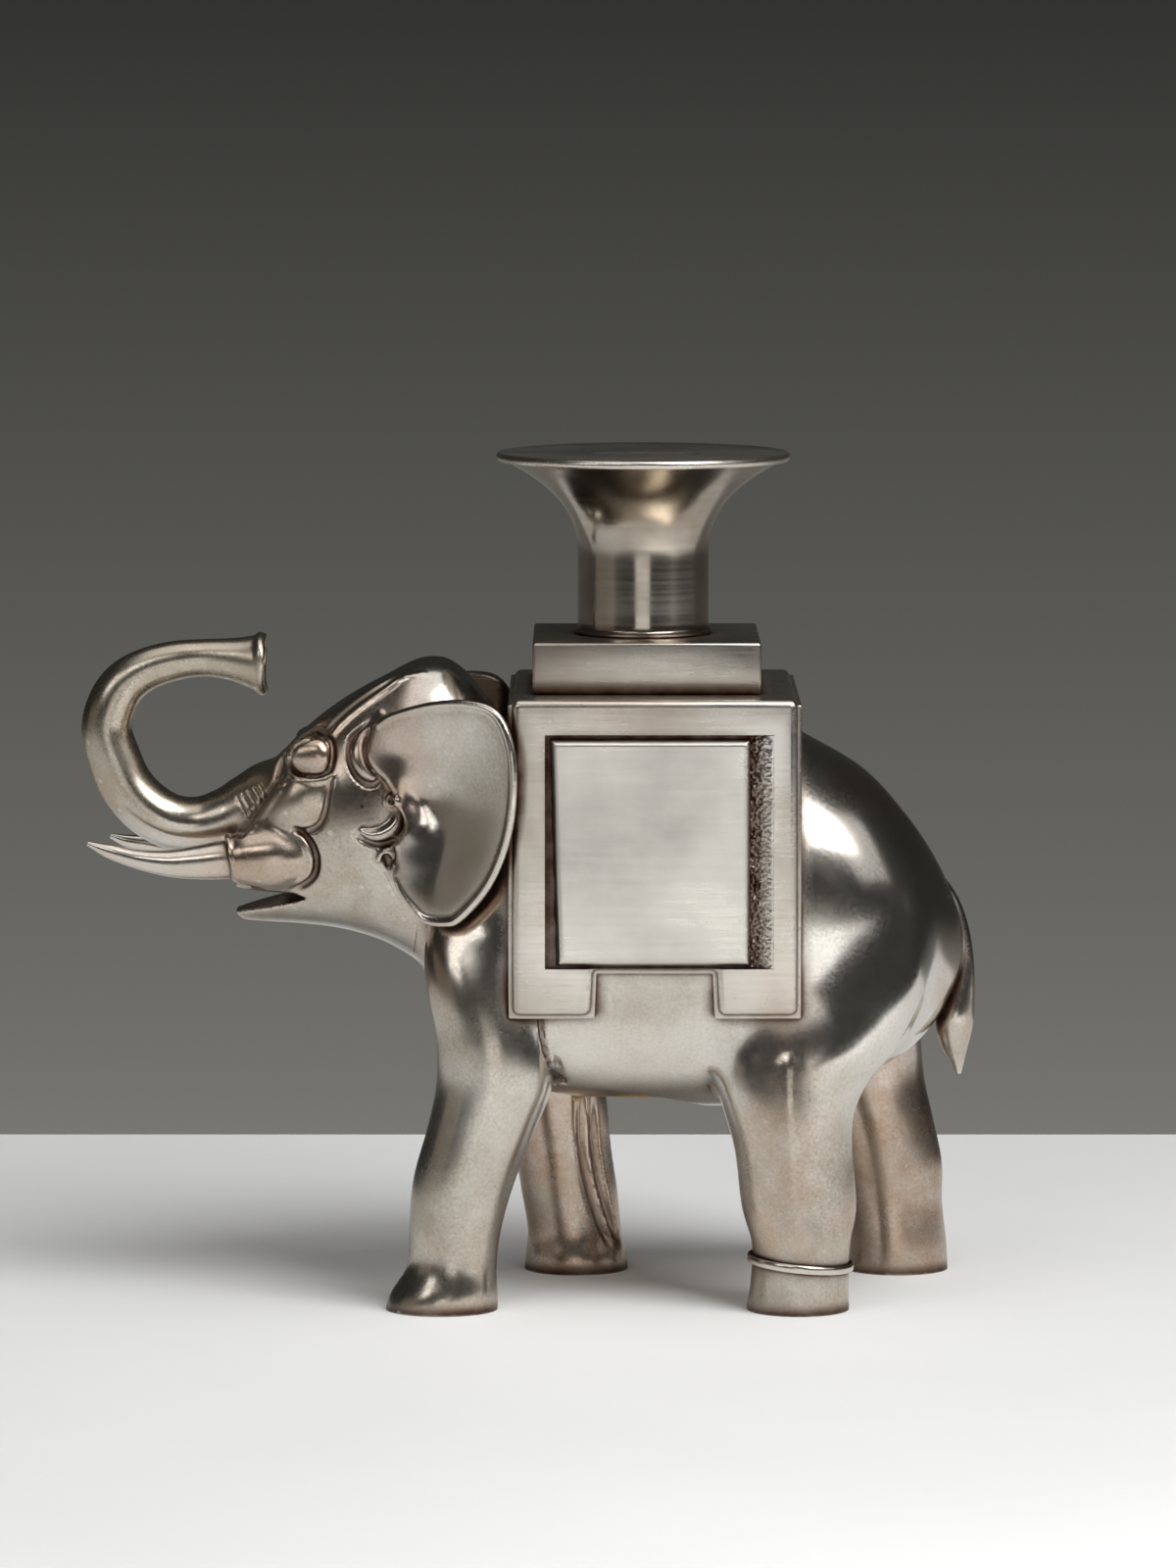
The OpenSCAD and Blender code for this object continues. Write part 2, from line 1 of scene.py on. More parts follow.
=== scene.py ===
"""Looks of the cast elephant coin bank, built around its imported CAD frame.

The castings are shaped like clay: solids are melted together in a distance field on a grid, lines
are drawn into it, and the skin of the field is cut into the pieces of the frame. Lengths in the
tables are millimetres, as in the CAD frame: head toward -X, left side toward -Y, soles on Z = 0.
"""

import json
import math

import bmesh
import bpy
import numpy as np
import openvdb
from mathutils import Matrix, Vector

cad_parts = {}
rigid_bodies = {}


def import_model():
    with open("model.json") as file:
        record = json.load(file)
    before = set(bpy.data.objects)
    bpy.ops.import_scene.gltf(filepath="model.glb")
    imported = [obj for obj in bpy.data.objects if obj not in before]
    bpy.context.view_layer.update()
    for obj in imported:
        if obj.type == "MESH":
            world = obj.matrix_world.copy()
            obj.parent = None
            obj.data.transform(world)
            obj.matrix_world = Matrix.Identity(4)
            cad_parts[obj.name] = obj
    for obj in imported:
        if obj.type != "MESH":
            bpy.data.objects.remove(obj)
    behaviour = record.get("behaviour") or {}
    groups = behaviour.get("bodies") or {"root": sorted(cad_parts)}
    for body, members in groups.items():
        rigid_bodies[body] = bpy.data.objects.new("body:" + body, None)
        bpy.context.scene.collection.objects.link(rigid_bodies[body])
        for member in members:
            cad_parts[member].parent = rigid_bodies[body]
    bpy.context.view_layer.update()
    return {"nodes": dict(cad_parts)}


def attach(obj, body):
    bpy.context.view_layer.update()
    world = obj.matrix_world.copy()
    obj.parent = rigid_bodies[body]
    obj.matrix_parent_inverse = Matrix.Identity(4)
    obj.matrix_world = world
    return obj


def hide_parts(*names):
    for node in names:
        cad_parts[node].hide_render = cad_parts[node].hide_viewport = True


MM = 0.001
for stray in list(bpy.data.objects):
    bpy.data.objects.remove(stray)
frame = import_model()
scene = bpy.context.scene
rng = np.random.default_rng(7)


# Camera at the photograph's viewing angle

camera = bpy.data.objects.new("camera", bpy.data.cameras.new("camera"))
scene.collection.objects.link(camera)
camera.location = (0.01722, -2.26678, 0.39383)
camera.rotation_euler = (math.radians(83.82), 0, 0)
camera.data.lens = 180
camera.data.sensor_width = 36
camera.data.clip_end = 20
scene.camera = camera
scene.view_settings.view_transform = "Standard"


# Shapes: (points, quads, triangles) of closed skins

def refine(rows, steps):
    """Smooth curve through the rows of a table, with a number of steps for each row."""
    rows = np.array(rows, float)
    n = len(rows) - 1
    padded = np.vstack([2 * rows[0] - rows[1], rows, 2 * rows[-1] - rows[-2]])
    t = np.arange(steps * n + 1) / steps
    i = np.minimum(t.astype(int), n - 1)
    u = (t - i)[:, None]
    a, b, c, d = padded[i], padded[i + 1], padded[i + 2], padded[i + 3]
    return 0.5 * (2 * b + (c - a) * u + (2 * a - 5 * b + 4 * c - d) * u**2
                  + (3 * b - a - 3 * c + d) * u**3)


def refine_loop(rows, steps):
    """The same for a closed outline."""
    rows = np.array(rows, float)
    wrapped = np.vstack([rows[-2:], rows, rows[:3]])
    return refine(wrapped, steps)[2 * steps:(2 + len(rows)) * steps]


def skin(rings):
    """Closed skin over a stack of rings, shaped (rings, points of a ring, 3)."""
    rings = np.array(rings, float)
    m, n = rings.shape[:2]
    points = np.vstack([rings.reshape(-1, 3), rings[0].mean(0), rings[-1].mean(0)])
    i, k = np.meshgrid(np.arange(m - 1), np.arange(n), indexing="ij")
    a = (i * n + k).ravel()
    b = (i * n + (k + 1) % n).ravel()
    quads = np.stack([a, b, b + n, a + n], -1)
    k = np.arange(n)
    first = np.stack([np.full(n, m * n), (k + 1) % n, k], -1)
    last = np.stack([np.full(n, m * n + 1), (m - 1) * n + k, (m - 1) * n + (k + 1) % n], -1)
    return points, quads, np.vstack([first, last])


def signed_power(v, e):
    return np.sign(v) * np.abs(v) ** e


def around(sides, shift=0.0):
    """Angles of equal steps round a circle."""
    return 2 * np.pi * (np.arange(sides) + shift) / sides


def bar(rows, steps=8, sides=64):
    """Round bar along a curve: rows of x, y, z, radius and width across relative to it."""
    path = refine(rows, steps)
    centre = path[:, :3]
    t = np.gradient(centre, axis=0)
    t /= np.linalg.norm(t, axis=1)[:, None]
    u = np.array([0, 1, 0]) - t[:, 1:2] * t
    u /= np.linalg.norm(u, axis=1)[:, None]
    v = np.cross(t, u)
    angle = around(sides)
    across = path[:, 4, None, None] * np.cos(angle)[None, :, None] * u[:, None, :]
    along = np.sin(angle)[None, :, None] * v[:, None, :]
    return skin(centre[:, None, :] + path[:, 3, None, None] * (across + along))


# Body: rows of x, half width, top and bottom
BARREL = [
    [-30, 12, 112, 88], [-25, 24, 128, 77], [-16, 36, 150, 69], [-4, 43.5, 166, 62],
    [14, 46.5, 174, 57.5], [38, 46.5, 175, 55.6], [60, 46.5, 174, 55], [79, 45.5, 163.6, 58.5],
    [97, 40.5, 153, 64], [109, 33, 140.4, 70], [118, 24, 127.4, 79], [124, 13, 114.5, 90],
    [126.5, 4, 106, 98]]
HOLLOW_FRONT = 14


def barrel(inset=0.0, sides=128):
    """Barrel of the body, squarish across; inset gives the hollow inside it."""
    rows = refine(BARREL, 8)
    x0, x1 = rows[0, 0], rows[-1, 0]
    front = HOLLOW_FRONT if inset else 0
    squeeze = (x1 - x0 - front - 1.4 * inset) / (x1 - x0)
    angle = around(sides, 0.5)
    x = (x0 + front + (rows[:, 0] - x0) * squeeze)[:, None] + 0 * angle
    width = np.maximum(rows[:, 1] - inset, 2)[:, None]
    height = np.maximum((rows[:, 2] - rows[:, 3]) / 2 - inset, 2)[:, None]
    middle = ((rows[:, 2] + rows[:, 3]) / 2)[:, None]
    y = width * signed_power(np.cos(angle), 0.8)
    z = middle + height * signed_power(np.sin(angle), 0.86)
    return skin(np.stack([x, y, z], -1))


# Legs: rows of z, x of the axis, half length, half width and distance from the middle plane
BELOW_SOLE = -4
FORE_LEFT = [
    [0, -25, 16.2, 14.4, 35], [5, -24.2, 15.4, 14.4, 35], [13, -22, 12.9, 12.6, 35],
    [24, -21, 13.4, 12.4, 35], [38, -18.3, 14.8, 12.8, 35], [53, -13.2, 15.8, 13.4, 34.8],
    [66, -9.6, 16.8, 14, 34.4], [80, -10.4, 16.4, 14.2, 33.6], [95, -13, 16.6, 13, 32],
    [108, -13, 16.4, 10, 30], [120, -11, 14, 6, 27]]
FORE_RIGHT = [
    [0, 13.7, 15.4, 14.4, 35], [5, 13.6, 14.8, 14.4, 35], [12, 13.2, 13.9, 12.8, 35],
    [24, 11.6, 14.3, 12.4, 35], [37, 9.6, 14.4, 12.8, 35], [52, 7, 15.6, 13.4, 34.8],
    [66, 2, 17.6, 14, 34.4], [80, -5, 18, 14.2, 33.6], [95, -10, 17, 13, 32],
    [108, -11, 16.4, 10, 30], [120, -10, 14, 6, 27]]
HIND_LEFT = [
    [0, 77.7, 14.8, 14.4, 35], [8, 78.2, 14.2, 14.2, 35], [19, 78.6, 14.2, 14.2, 35],
    [30, 78, 16.6, 13.8, 35], [46, 76.4, 17, 13.8, 35], [57, 75.2, 18.8, 14, 34.8],
    [66, 76, 22, 14.2, 34], [76, 80, 26, 14.2, 33], [90, 85, 27, 12.6, 31],
    [105, 88, 24, 9, 28], [120, 89, 18, 5, 24]]
HIND_RIGHT = [
    [0, 108.8, 15.3, 14.4, 35], [8, 109, 14.7, 14.2, 35], [20, 107.8, 14.6, 13.6, 35],
    [32, 106.6, 15.7, 13.6, 35], [46, 103.4, 16, 13.8, 35], [57, 99.6, 17.4, 14, 34.8],
    [68, 95, 21, 14.2, 34], [78, 91, 24.5, 14.2, 33], [91, 88, 25.5, 12.6, 31],
    [105, 88, 23, 9, 28], [120, 89, 17, 5, 24]]


def leg(rows, side):
    """Leg that runs on below the floor, so that the cut at Z = 0 leaves a crisp sole."""
    rows = refine([[BELOW_SOLE, *rows[0][1:]], *rows], 8)
    angle = around(64)
    x = rows[:, 1:2] + rows[:, 2:3] * np.cos(angle)
    y = side * rows[:, 4:5] + rows[:, 3:4] * np.sin(angle)
    z = rows[:, 0:1] + 0 * angle
    return skin(np.stack([x, y, z], -1))


# Skull and neck: rows of x, half width, top, bottom and height of the widest line
SKULL = [
    [-85, 9, 137, 110.4, 122], [-82.5, 13, 146, 109, 125], [-76, 18.8, 155, 108.4, 129],
    [-66, 23, 165.4, 107.8, 136], [-54, 26.5, 174.6, 106.2, 140], [-42, 28.6, 181.6, 102.4, 142],
    [-30, 29, 186.8, 96, 143], [-20, 27.5, 184.4, 94, 142], [-8, 23, 170.5, 100, 138],
    [4, 18, 158, 106, 135]]
FURROW = 3.2
FURROW_WIDTH = 7


def skull():
    """Skull and neck, with a furrow along the forehead."""
    rows = refine(SKULL, 8)
    angle = around(128, 0.5)
    y = rows[:, 1:2] * signed_power(np.cos(angle), 0.9)
    s = signed_power(np.sin(angle), 0.92)
    reach = np.where(s > 0, rows[:, 2:3] - rows[:, 4:5], rows[:, 4:5] - rows[:, 3:4])
    dip = FURROW * np.maximum(s, 0) * np.exp(-(y / FURROW_WIDTH) ** 2)
    x = rows[:, 0:1] + 0 * angle
    return skin(np.stack([x, y, rows[:, 4:5] + reach * s - dip], -1))


# Trunk and tail: rows for bar()
TRUNK = [
    [-66, 0, 146, 11, 1.25], [-74, 0, 144.6, 10.8, 1.2], [-80.5, 0, 141.8, 9.8, 1.12],
    [-87.5, 0, 138.6, 8.8, 1.05], [-95.6, 0, 136.6, 8.1, 1], [-104, 0, 137.4, 8, 1],
    [-111.2, 0, 141.5, 8, 1], [-116.8, 0, 147.8, 7.8, 1], [-120.4, 0, 155.6, 7.7, 1],
    [-122.7, 0, 164.1, 7.4, 1], [-120.8, 0, 172, 7.2, 1], [-117, 0, 178, 6.7, 1],
    [-110.8, 0, 182, 6.1, 1], [-102.3, 0, 184.4, 5.7, 1], [-94, 0, 185.2, 5.5, 1],
    [-86, 0, 184.8, 6.3, 1], [-80.2, 0, 184.2, 7.8, 1], [-77, 0, 183.8, 8.9, 1]]
TRUNK_HOLLOW = [
    [-84, 0, 184.6, 1.5, 1], [-81, 0, 184.4, 4.2, 1], [-78, 0, 183.9, 6.4, 1], [-73, 0, 183.4, 8.2, 1]]
TAIL = [
    [118, 0, 121, 2.6, 1], [122.4, 0, 114, 2.9, 1], [125.2, 0, 106, 3, 1], [126.6, 0, 97, 3.1, 1],
    [126.2, 0, 89, 3.9, 1.1], [124.4, 0, 80.6, 5.6, 1.05], [124.2, 0, 73.6, 4.6, 1.05],
    [125, 0, 67.4, 2.2, 1], [125.4, 0, 63.4, 0.8, 1]]


def prism(outline, near, far):
    """Outline in x and z, carried across from one y to another."""
    x, z = np.array(outline, float).T
    return skin([np.stack([x, y + 0 * x, z], -1) for y in (near, far)])


# Clay

def smooth_min(a, b, blend):
    """Union of two distances with a fillet about as wide as blend."""
    if blend <= 0:
        return np.minimum(a, b)
    h = np.maximum(blend - np.abs(a - b), 0) / blend
    return np.minimum(a, b) - h * h * (blend / 4)


def soften(field, passes):
    """Evens out a field along each of its axes in turn."""
    for _ in range(passes):
        for axis in range(field.ndim):
            f = np.moveaxis(field, axis, 0)
            f[1:-1] = 0.25 * (f[:-2] + f[2:]) + 0.5 * f[1:-1]


class Clay:
    """Signed distances on a grid of points, negative inside the metal."""

    band = 12

    def __init__(self, low, high, voxel):
        self.voxel = voxel
        self.first = np.floor(np.array(low) / voxel).astype(int)
        self.count = np.ceil(np.array(high) / voxel).astype(int) - self.first + 1
        self.field = np.full(self.count, self.band * voxel, np.float32)

    def window(self, low, high, margin):
        """Slices of the grid round a box, and the box's first grid point."""
        lo = np.floor((np.array(low) - margin) / self.voxel).astype(int) - self.first
        hi = np.ceil((np.array(high) + margin) / self.voxel).astype(int) - self.first + 1
        lo, hi = np.clip(lo, 0, self.count), np.clip(hi, 0, self.count)
        return tuple(slice(a, b) for a, b in zip(lo, hi)), self.first + lo

    def distance(self, shape, start, size):
        points, quads, triangles = shape
        grid = openvdb.FloatGrid.createLevelSetFromPolygons(
            points.astype(np.float32), triangles=triangles.astype(np.uint32),
            quads=quads.astype(np.uint32),
            transform=openvdb.createLinearTransform(voxelSize=self.voxel), halfWidth=self.band)
        out = np.empty(size, np.float32)
        grid.copyToArray(out, ijk=tuple(int(i) for i in start))
        return out

    def add(self, shape, blend=0.0, sign=1):
        """Adds a shape, or cuts it away where the sign is -1."""
        where, start = self.window(shape[0].min(0), shape[0].max(0), self.band * self.voxel)
        part = self.field[where]
        if part.size:
            distance = self.distance(shape, start, part.shape)
            self.field[where] = sign * smooth_min(sign * part, distance, blend)

    def cut(self, shape, blend):
        self.add(shape, blend, -1)

    def knead(self, spacing, depth):
        """Gives the skin the soft waves of a hand-finished casting: random, a spacing apart, so deep."""
        waves = rng.normal(size=[int(n * self.voxel / spacing) + 4 for n in self.count])
        for axis in range(3):
            t = np.arange(self.count[axis]) * self.voxel / spacing
            i = t.astype(int)
            u = t - i
            spread = np.zeros((len(t), waves.shape[axis]))
            for k, weight in enumerate(((1 - u) ** 3, 3 * u**3 - 6 * u**2 + 4,
                                        1 + 3 * u + 3 * u**2 - 3 * u**3, u**3)):
                spread[np.arange(len(t)), i + k] = weight / 6
            waves = np.moveaxis(np.tensordot(spread, waves, (1, axis)), 0, axis)
        self.field += (depth * waves / waves.std()).astype(np.float32)

    def sample(self, p):
        """Distances at points, read between the grid points."""
        q = np.asarray(p, float) / self.voxel - self.first
        i = np.clip(np.floor(q).astype(int), 0, self.count - 2)
        u = np.clip(q - i, 0, 1)
        total = 0
        for corner in np.ndindex(2, 2, 2):
            weight = np.prod(np.where(corner, u, 1 - u), axis=-1)
            x, y, z = np.moveaxis(i + corner, -1, 0)
            total = total + weight * self.field[x, y, z]
        return total

    def on_side(self, spots, side):
        """Points of the surface at these x and z, met first from one side, and the normals there."""
        spots = np.asarray(spots, float)
        ys = side * np.arange(60, -60, -self.voxel)
        rays = np.empty((len(spots), len(ys), 3))
        rays[..., 0], rays[..., 1], rays[..., 2] = spots[:, :1], ys, spots[:, 1:2]
        values = self.sample(rays)
        j = (values <= 0).argmax(1)
        met = np.nonzero(j > 0)[0]
        j = j[met]
        before, after = values[met, j - 1], values[met, j]
        y = ys[j - 1] + before / (before - after) * (ys[j] - ys[j - 1])
        points = np.stack([spots[met, 0], y, spots[met, 1]], -1)
        steps = self.voxel * np.eye(3)
        normals = np.stack([self.sample(points + s) - self.sample(points - s) for s in steps], -1)
        return points, normals / (np.linalg.norm(normals, axis=1)[:, None] + 1e-9)

    def draw(self, path, radius, blend, sign=1):
        """Adds a round line along a path, or carves it; radius may be one number for each point."""
        path = np.asarray(path, float)
        radius = np.broadcast_to(radius, len(path)).astype(float)
        margin = radius.max() + blend + 2 * self.voxel
        where, start = self.window(path.min(0), path.max(0), margin)
        part = self.field[where]
        if not part.size:
            return
        line = np.full(part.shape, self.band * self.voxel, np.float32)
        for a, b, ra, rb in zip(path[:-1], path[1:], radius[:-1], radius[1:]):
            lo = np.floor((np.minimum(a, b) - margin) / self.voxel).astype(int) - start
            hi = np.ceil((np.maximum(a, b) + margin) / self.voxel).astype(int) - start + 1
            lo, hi = np.clip(lo, 0, part.shape), np.clip(hi, 0, part.shape)
            axes = [(start[k] + np.arange(lo[k], hi[k])) * self.voxel for k in range(3)]
            grid = np.stack(np.meshgrid(*axes, indexing="ij"), -1) - a
            ab = b - a
            t = np.clip(grid @ ab / (ab @ ab + 1e-12), 0, 1)
            d = np.linalg.norm(grid - t[..., None] * ab, axis=-1) - (ra + t * (rb - ra))
            box = tuple(slice(p, q) for p, q in zip(lo, hi))
            line[box] = np.minimum(line[box], d)
        self.field[where] = sign * smooth_min(sign * part, line, blend)

    def groove(self, spots, depth, radius, blend, sides=(-1, 1), fade=True):
        """Carves a line into the skin through spots of x and z, seen from the side."""
        self.line(spots, depth, radius, blend, sides, fade, -1)

    def ridge(self, spots, height, radius, blend, sides=(-1, 1)):
        """Raises a line on the skin in the same way."""
        self.line(spots, height, radius, blend, sides, True, 1)

    def line(self, spots, depth, radius, blend, sides, fade, sign):
        rows = refine(spots, 4)
        for side in sides:
            p, n = self.on_side(rows, side)
            if len(p) < 2:
                continue
            t = np.linspace(0, 1, len(p))
            swell = np.minimum(1, 6 * np.minimum(t, 1 - t) + 0.15) if fade else np.ones(len(p))
            offset = radius - depth * swell
            self.draw(p - sign * offset[:, None] * n, radius, blend, sign)

    def mesh(self, name, level=0.0):
        """Blender object of the skin."""
        grid = openvdb.FloatGrid(float(self.band * self.voxel))
        grid.copyFromArray(self.field, ijk=tuple(int(i) for i in self.first))
        grid.transform = openvdb.createLinearTransform(voxelSize=self.voxel)
        points, quads = grid.convertToQuads(isovalue=level)
        return mesh_object(name, points, quads)


# Blender objects

def mesh_object(name, points, *faces):
    """Object of points in millimetres and faces given in arrays of quads or triangles."""
    mesh = bpy.data.meshes.new(name)
    mesh.from_pydata(np.asarray(points, float) * MM, [], [f for group in faces for f in group.tolist()])
    mesh.update()
    obj = bpy.data.objects.new(name, mesh)
    scene.collection.objects.link(obj)
    return obj


def solid_object(name, points, *faces):
    """The same for a closed skin, whose faces are turned outward."""
    obj = mesh_object(name, points, *faces)
    bm = bmesh.new()
    bm.from_mesh(obj.data)
    bmesh.ops.recalc_face_normals(bm, faces=bm.faces)
    bm.to_mesh(obj.data)
    bm.free()
    return obj


def settle(obj):
    """Applies the modifiers of an object."""
    graph = bpy.context.evaluated_depsgraph_get()
    mesh = bpy.data.meshes.new_from_object(obj.evaluated_get(graph))
    old = obj.data
    obj.modifiers.clear()
    obj.data = mesh
    bpy.data.meshes.remove(old)
    mesh.name = obj.name


def combine(obj, tool, operation):
    modifier = obj.modifiers.new("cut", "BOOLEAN")
    modifier.operation = operation
    modifier.solver = "MANIFOLD"
    modifier.object = tool
    settle(obj)


def part_inside(obj, name, tool):
    """Copy of what an object has inside a tool."""
    part = bpy.data.objects.new(name, obj.data.copy())
    scene.collection.objects.link(part)
    combine(part, tool, "INTERSECT")
    return part


def remove(*objects):
    for obj in objects:
        bpy.data.objects.remove(obj)


def cut_away(obj, *tools):
    """Subtracts the tools, which are used up."""
    for tool in tools:
        combine(obj, tool, "DIFFERENCE")
        remove(tool)


def box_object(name, low, high):
    low, high = np.array(low, float), np.array(high, float)
    corners = low[:2] + np.array([[0, 0], [1, 0], [1, 1], [0, 1]]) * (high - low)[:2]
    rings = [np.column_stack([corners, np.full(4, z)]) for z in (low[2], high[2])]
    return solid_object(name, *skin(rings))


def rod(base, tip, radius, sides):
    """Tool for a bore from one point to another."""
    base, tip = np.array(base, float), np.array(tip, float)
    axis = (tip - base) / np.linalg.norm(tip - base)
    u = np.cross(axis, [1, 0, 0] if abs(axis[0]) < 0.9 else [0, 1, 0])
    u /= np.linalg.norm(u)
    v = np.cross(axis, u)
    angle = around(sides)
    ring = radius * (np.cos(angle)[:, None] * u + np.sin(angle)[:, None] * v)
    return solid_object("tool", *skin([base + ring, tip + ring]))


def shade(obj, angle):
    """Smooth shading, with edges sharper than an angle kept crisp."""
    mesh = obj.data
    mesh.polygons.foreach_set("use_smooth", np.ones(len(mesh.polygons), bool))
    mesh.set_sharp_from_angle(angle=math.radians(angle))


# Body castings

LEGS = ((FORE_LEFT, -1), (FORE_RIGHT, 1), (HIND_LEFT, -1), (HIND_RIGHT, 1))
SHOULDER_LINE = [(2.9, 90), (4.1, 81.5), (5.2, 75.8), (7.4, 69.3), (10.2, 64.5)]
HIND_CREST = [(74.6, 72), (75.4, 56), (76.2, 40), (76.8, 24)]
SINEWS = [[(14.9, 54), (15.5, 38.1), (17.5, 26.4), (20.7, 16.1), (23.6, 8.7)],
          [(18.2, 54), (19, 37.7), (21, 25.9), (23.9, 15.6), (26, 9.1)]]


def body_clay():
    clay = Clay((-48, -56, -7), (134, 56, 190), 0.85)
    clay.add(barrel())
    clay.add(skull(), 5)
    for rows, side in LEGS:
        clay.add(leg(rows, side), 7)
    soften(clay.field, 2)
    clay.ridge(HIND_CREST, 0.5, 3, 3, (-1,))
    clay.groove(SHOULDER_LINE, 1.3, 0.9, 0.4, (-1,), fade=False)
    for sinew in SINEWS:
        clay.groove(sinew, 1.3, 1.4, 1.0, (-1,))
    return clay


# Head: sleeves of the tusks, cheeks, eyes and lids, brows, mouth and trunk

def mirrored(rows, side):
    rows = np.array(rows, float)
    rows[:, 1] *= side
    return rows


TUSK_SLEEVE = [[-86, 17, 128.6, 6.6, 1], [-81, 17, 128.8, 8.2, 1], [-73, 16, 129, 9.8, 1],
               [-65, 15, 129.6, 8.6, 1], [-58, 13, 131, 4, 1]]
CHEEK = [[-72.5, 15, 139, 3, 1], [-69, 17, 142, 6.5, 1], [-65, 18.2, 146.5, 7.6, 0.95],
         [-62, 18.2, 151, 6.6, 0.9], [-60.5, 17.5, 154.5, 4, 0.9]]
EYE = [[-67.9, 20.2, 157.8, 2.2, 0.8], [-66.4, 20.6, 158.2, 4.2, 0.75], [-63, 21.2, 158.7, 5.2, 0.72],
       [-59.6, 21.8, 158.9, 5, 0.74], [-57.2, 22, 158.9, 3.4, 0.8]]
EYE_LINE = [(-68.1, 160.5), (-66.2, 162.4), (-62.9, 163.8), (-59.5, 164.2), (-57.1, 163.4), (-56.3, 160.8),
            (-56.4, 157.8), (-57.4, 154.6), (-59.5, 153.3), (-63, 153.1), (-66.6, 153.6), (-67.8, 156),
            (-68.3, 158.4), (-68.1, 160.5)]
LOWER_LID = [(-67.2, 152.6), (-63, 151.9), (-59.6, 152.1), (-56.8, 153.6)]
INNER_LID = [(-69.2, 160), (-70, 156.4), (-69.2, 153.8), (-66.6, 152.2)]
FACE_LINE = [(-57.6, 165), (-62.6, 164.9), (-67.9, 161.9), (-70.9, 158), (-72, 154.6), (-73, 151.4),
             (-75, 148.2), (-77.6, 144), (-80.6, 139.2), (-83, 135.6)]
FACE_STRIP = [(-70.6, 150), (-73.2, 146.2), (-76.4, 141.4), (-80, 136.8)]
CHEEK_LINE = [(-56.8, 152.4), (-57.4, 149.2), (-57.8, 146.5), (-58.4, 143.2), (-59.8, 139.8),
              (-62.4, 137.8), (-65.6, 137.2), (-67.6, 137.9)]
SLEEVE_LINE = [(-67, 137.7), (-64.7, 136.4), (-62.5, 133.5), (-61.2, 130), (-61.2, 126.5), (-62.3, 123.5),
               (-65, 121), (-68, 119.9)]
SLEEVE_BEAD = [(-66.6, 136.6), (-65, 135.2), (-63.6, 132.8), (-62.5, 129.8), (-62.5, 126.8), (-63.5, 124.3),
               (-66, 122.2)]
BROW = [(-57.4, 163.6), (-53.2, 168.2), (-47.8, 172.6), (-40.7, 177.5), (-36.8, 180.1), (-30.8, 182)]
BROW_LINE = [(-58.2, 165.2), (-54.2, 169.4), (-48.8, 173.9), (-41.7, 178.7), (-37.6, 181.2)]
LID_CREASES = [[(-69.6, 161.8), (-71.4, 159.4), (-72, 157)], [(-70.4, 153), (-71.6, 151.4), (-72.6, 151.6)],
               [(-69.2, 151.2), (-70.6, 149.8), (-72, 149.6)]]
TRUNK_CREASES = [
    [(-84.6, 145.6), (-82.6, 142.4), (-81.2, 139.4)], [(-83, 146.6), (-81, 143.4), (-79.6, 140.6)],
    [(-81.4, 147.6), (-79.4, 144.6), (-78, 142)], [(-79.8, 148.8), (-77.8, 145.9), (-76.5, 143.6)],
    [(-78.2, 150), (-76.3, 147.2), (-75.2, 145.2)]]
TRUNK_LIP = (-77.6, 0, 183.9)
TRUNK_LIP_R = 8.1
MOUTH = [(-92, 113), (-92, 119.6), (-68, 118.4), (-64.6, 117), (-68, 115.8), (-84, 112)]
COLLAR = (-85.2, 17, 128.6, 6.5)


def ring_path(centre, radius, lean, points=33):
    """Circle round the x axis, leaning toward the trunk."""
    a = np.linspace(0, 2 * np.pi, points)
    y, z = radius * np.cos(a), radius * np.sin(a)
    return np.stack([centre[0] - lean * z, centre[1] + y, centre[2] + z], -1)


def head_clay():
    clay = Clay((-133, -57, 86), (2, 57, 197), 0.47)
    clay.add(skull())
    for side in (-1, 1):
        clay.add(bar(mirrored(CHEEK, side), 8, 40), 5)
        clay.add(bar(mirrored(TUSK_SLEEVE, side), 8, 40), 2.5)
        clay.add(bar(mirrored(EYE, side), 8, 40), 1.5)
    clay.add(bar(TRUNK), 2)
    lip = ring_path(TRUNK_LIP, TRUNK_LIP_R, 0.05, 49)
    clay.draw(lip, 1.25 + 0.3 * np.sin(np.linspace(0, 6 * np.pi, len(lip))), 0.8)
    clay.cut(bar(TRUNK_HOLLOW), 0.8)
    soften(clay.field, 1)
    clay.cut(prism(MOUTH, -45, 45), 1.0)
    clay.ridge(BROW, 0.9, 1.1, 1.2)
    clay.groove(BROW_LINE, 0.6, 1.2, 1.2)
    clay.groove(FACE_LINE, 1.6, 1.5, 1.0)
    clay.ridge(FACE_STRIP, 0.5, 0.9, 0.8)
    clay.groove(CHEEK_LINE, 1.0, 1.0, 0.8)
    clay.groove(SLEEVE_LINE, 1.3, 1.1, 0.7)
    clay.ridge(SLEEVE_BEAD, 0.4, 0.9, 0.6)
    clay.groove(EYE_LINE, 0.9, 0.9, 0.6, fade=False)
    clay.ridge(LOWER_LID, 0.6, 0.9, 0.6)
    clay.ridge(INNER_LID, 0.5, 0.8, 0.6)
    for crease in LID_CREASES:
        clay.groove(crease, 0.5, 0.6, 0.4)
    for crease in TRUNK_CREASES:
        clay.groove(crease, 0.55, 0.55, 0.2)
    for side in (-1, 1):
        x, y, z, r = COLLAR
        clay.draw(ring_path((x, side * y, z), r, 0.25), 0.85, 0.6)
    return clay


# Ears

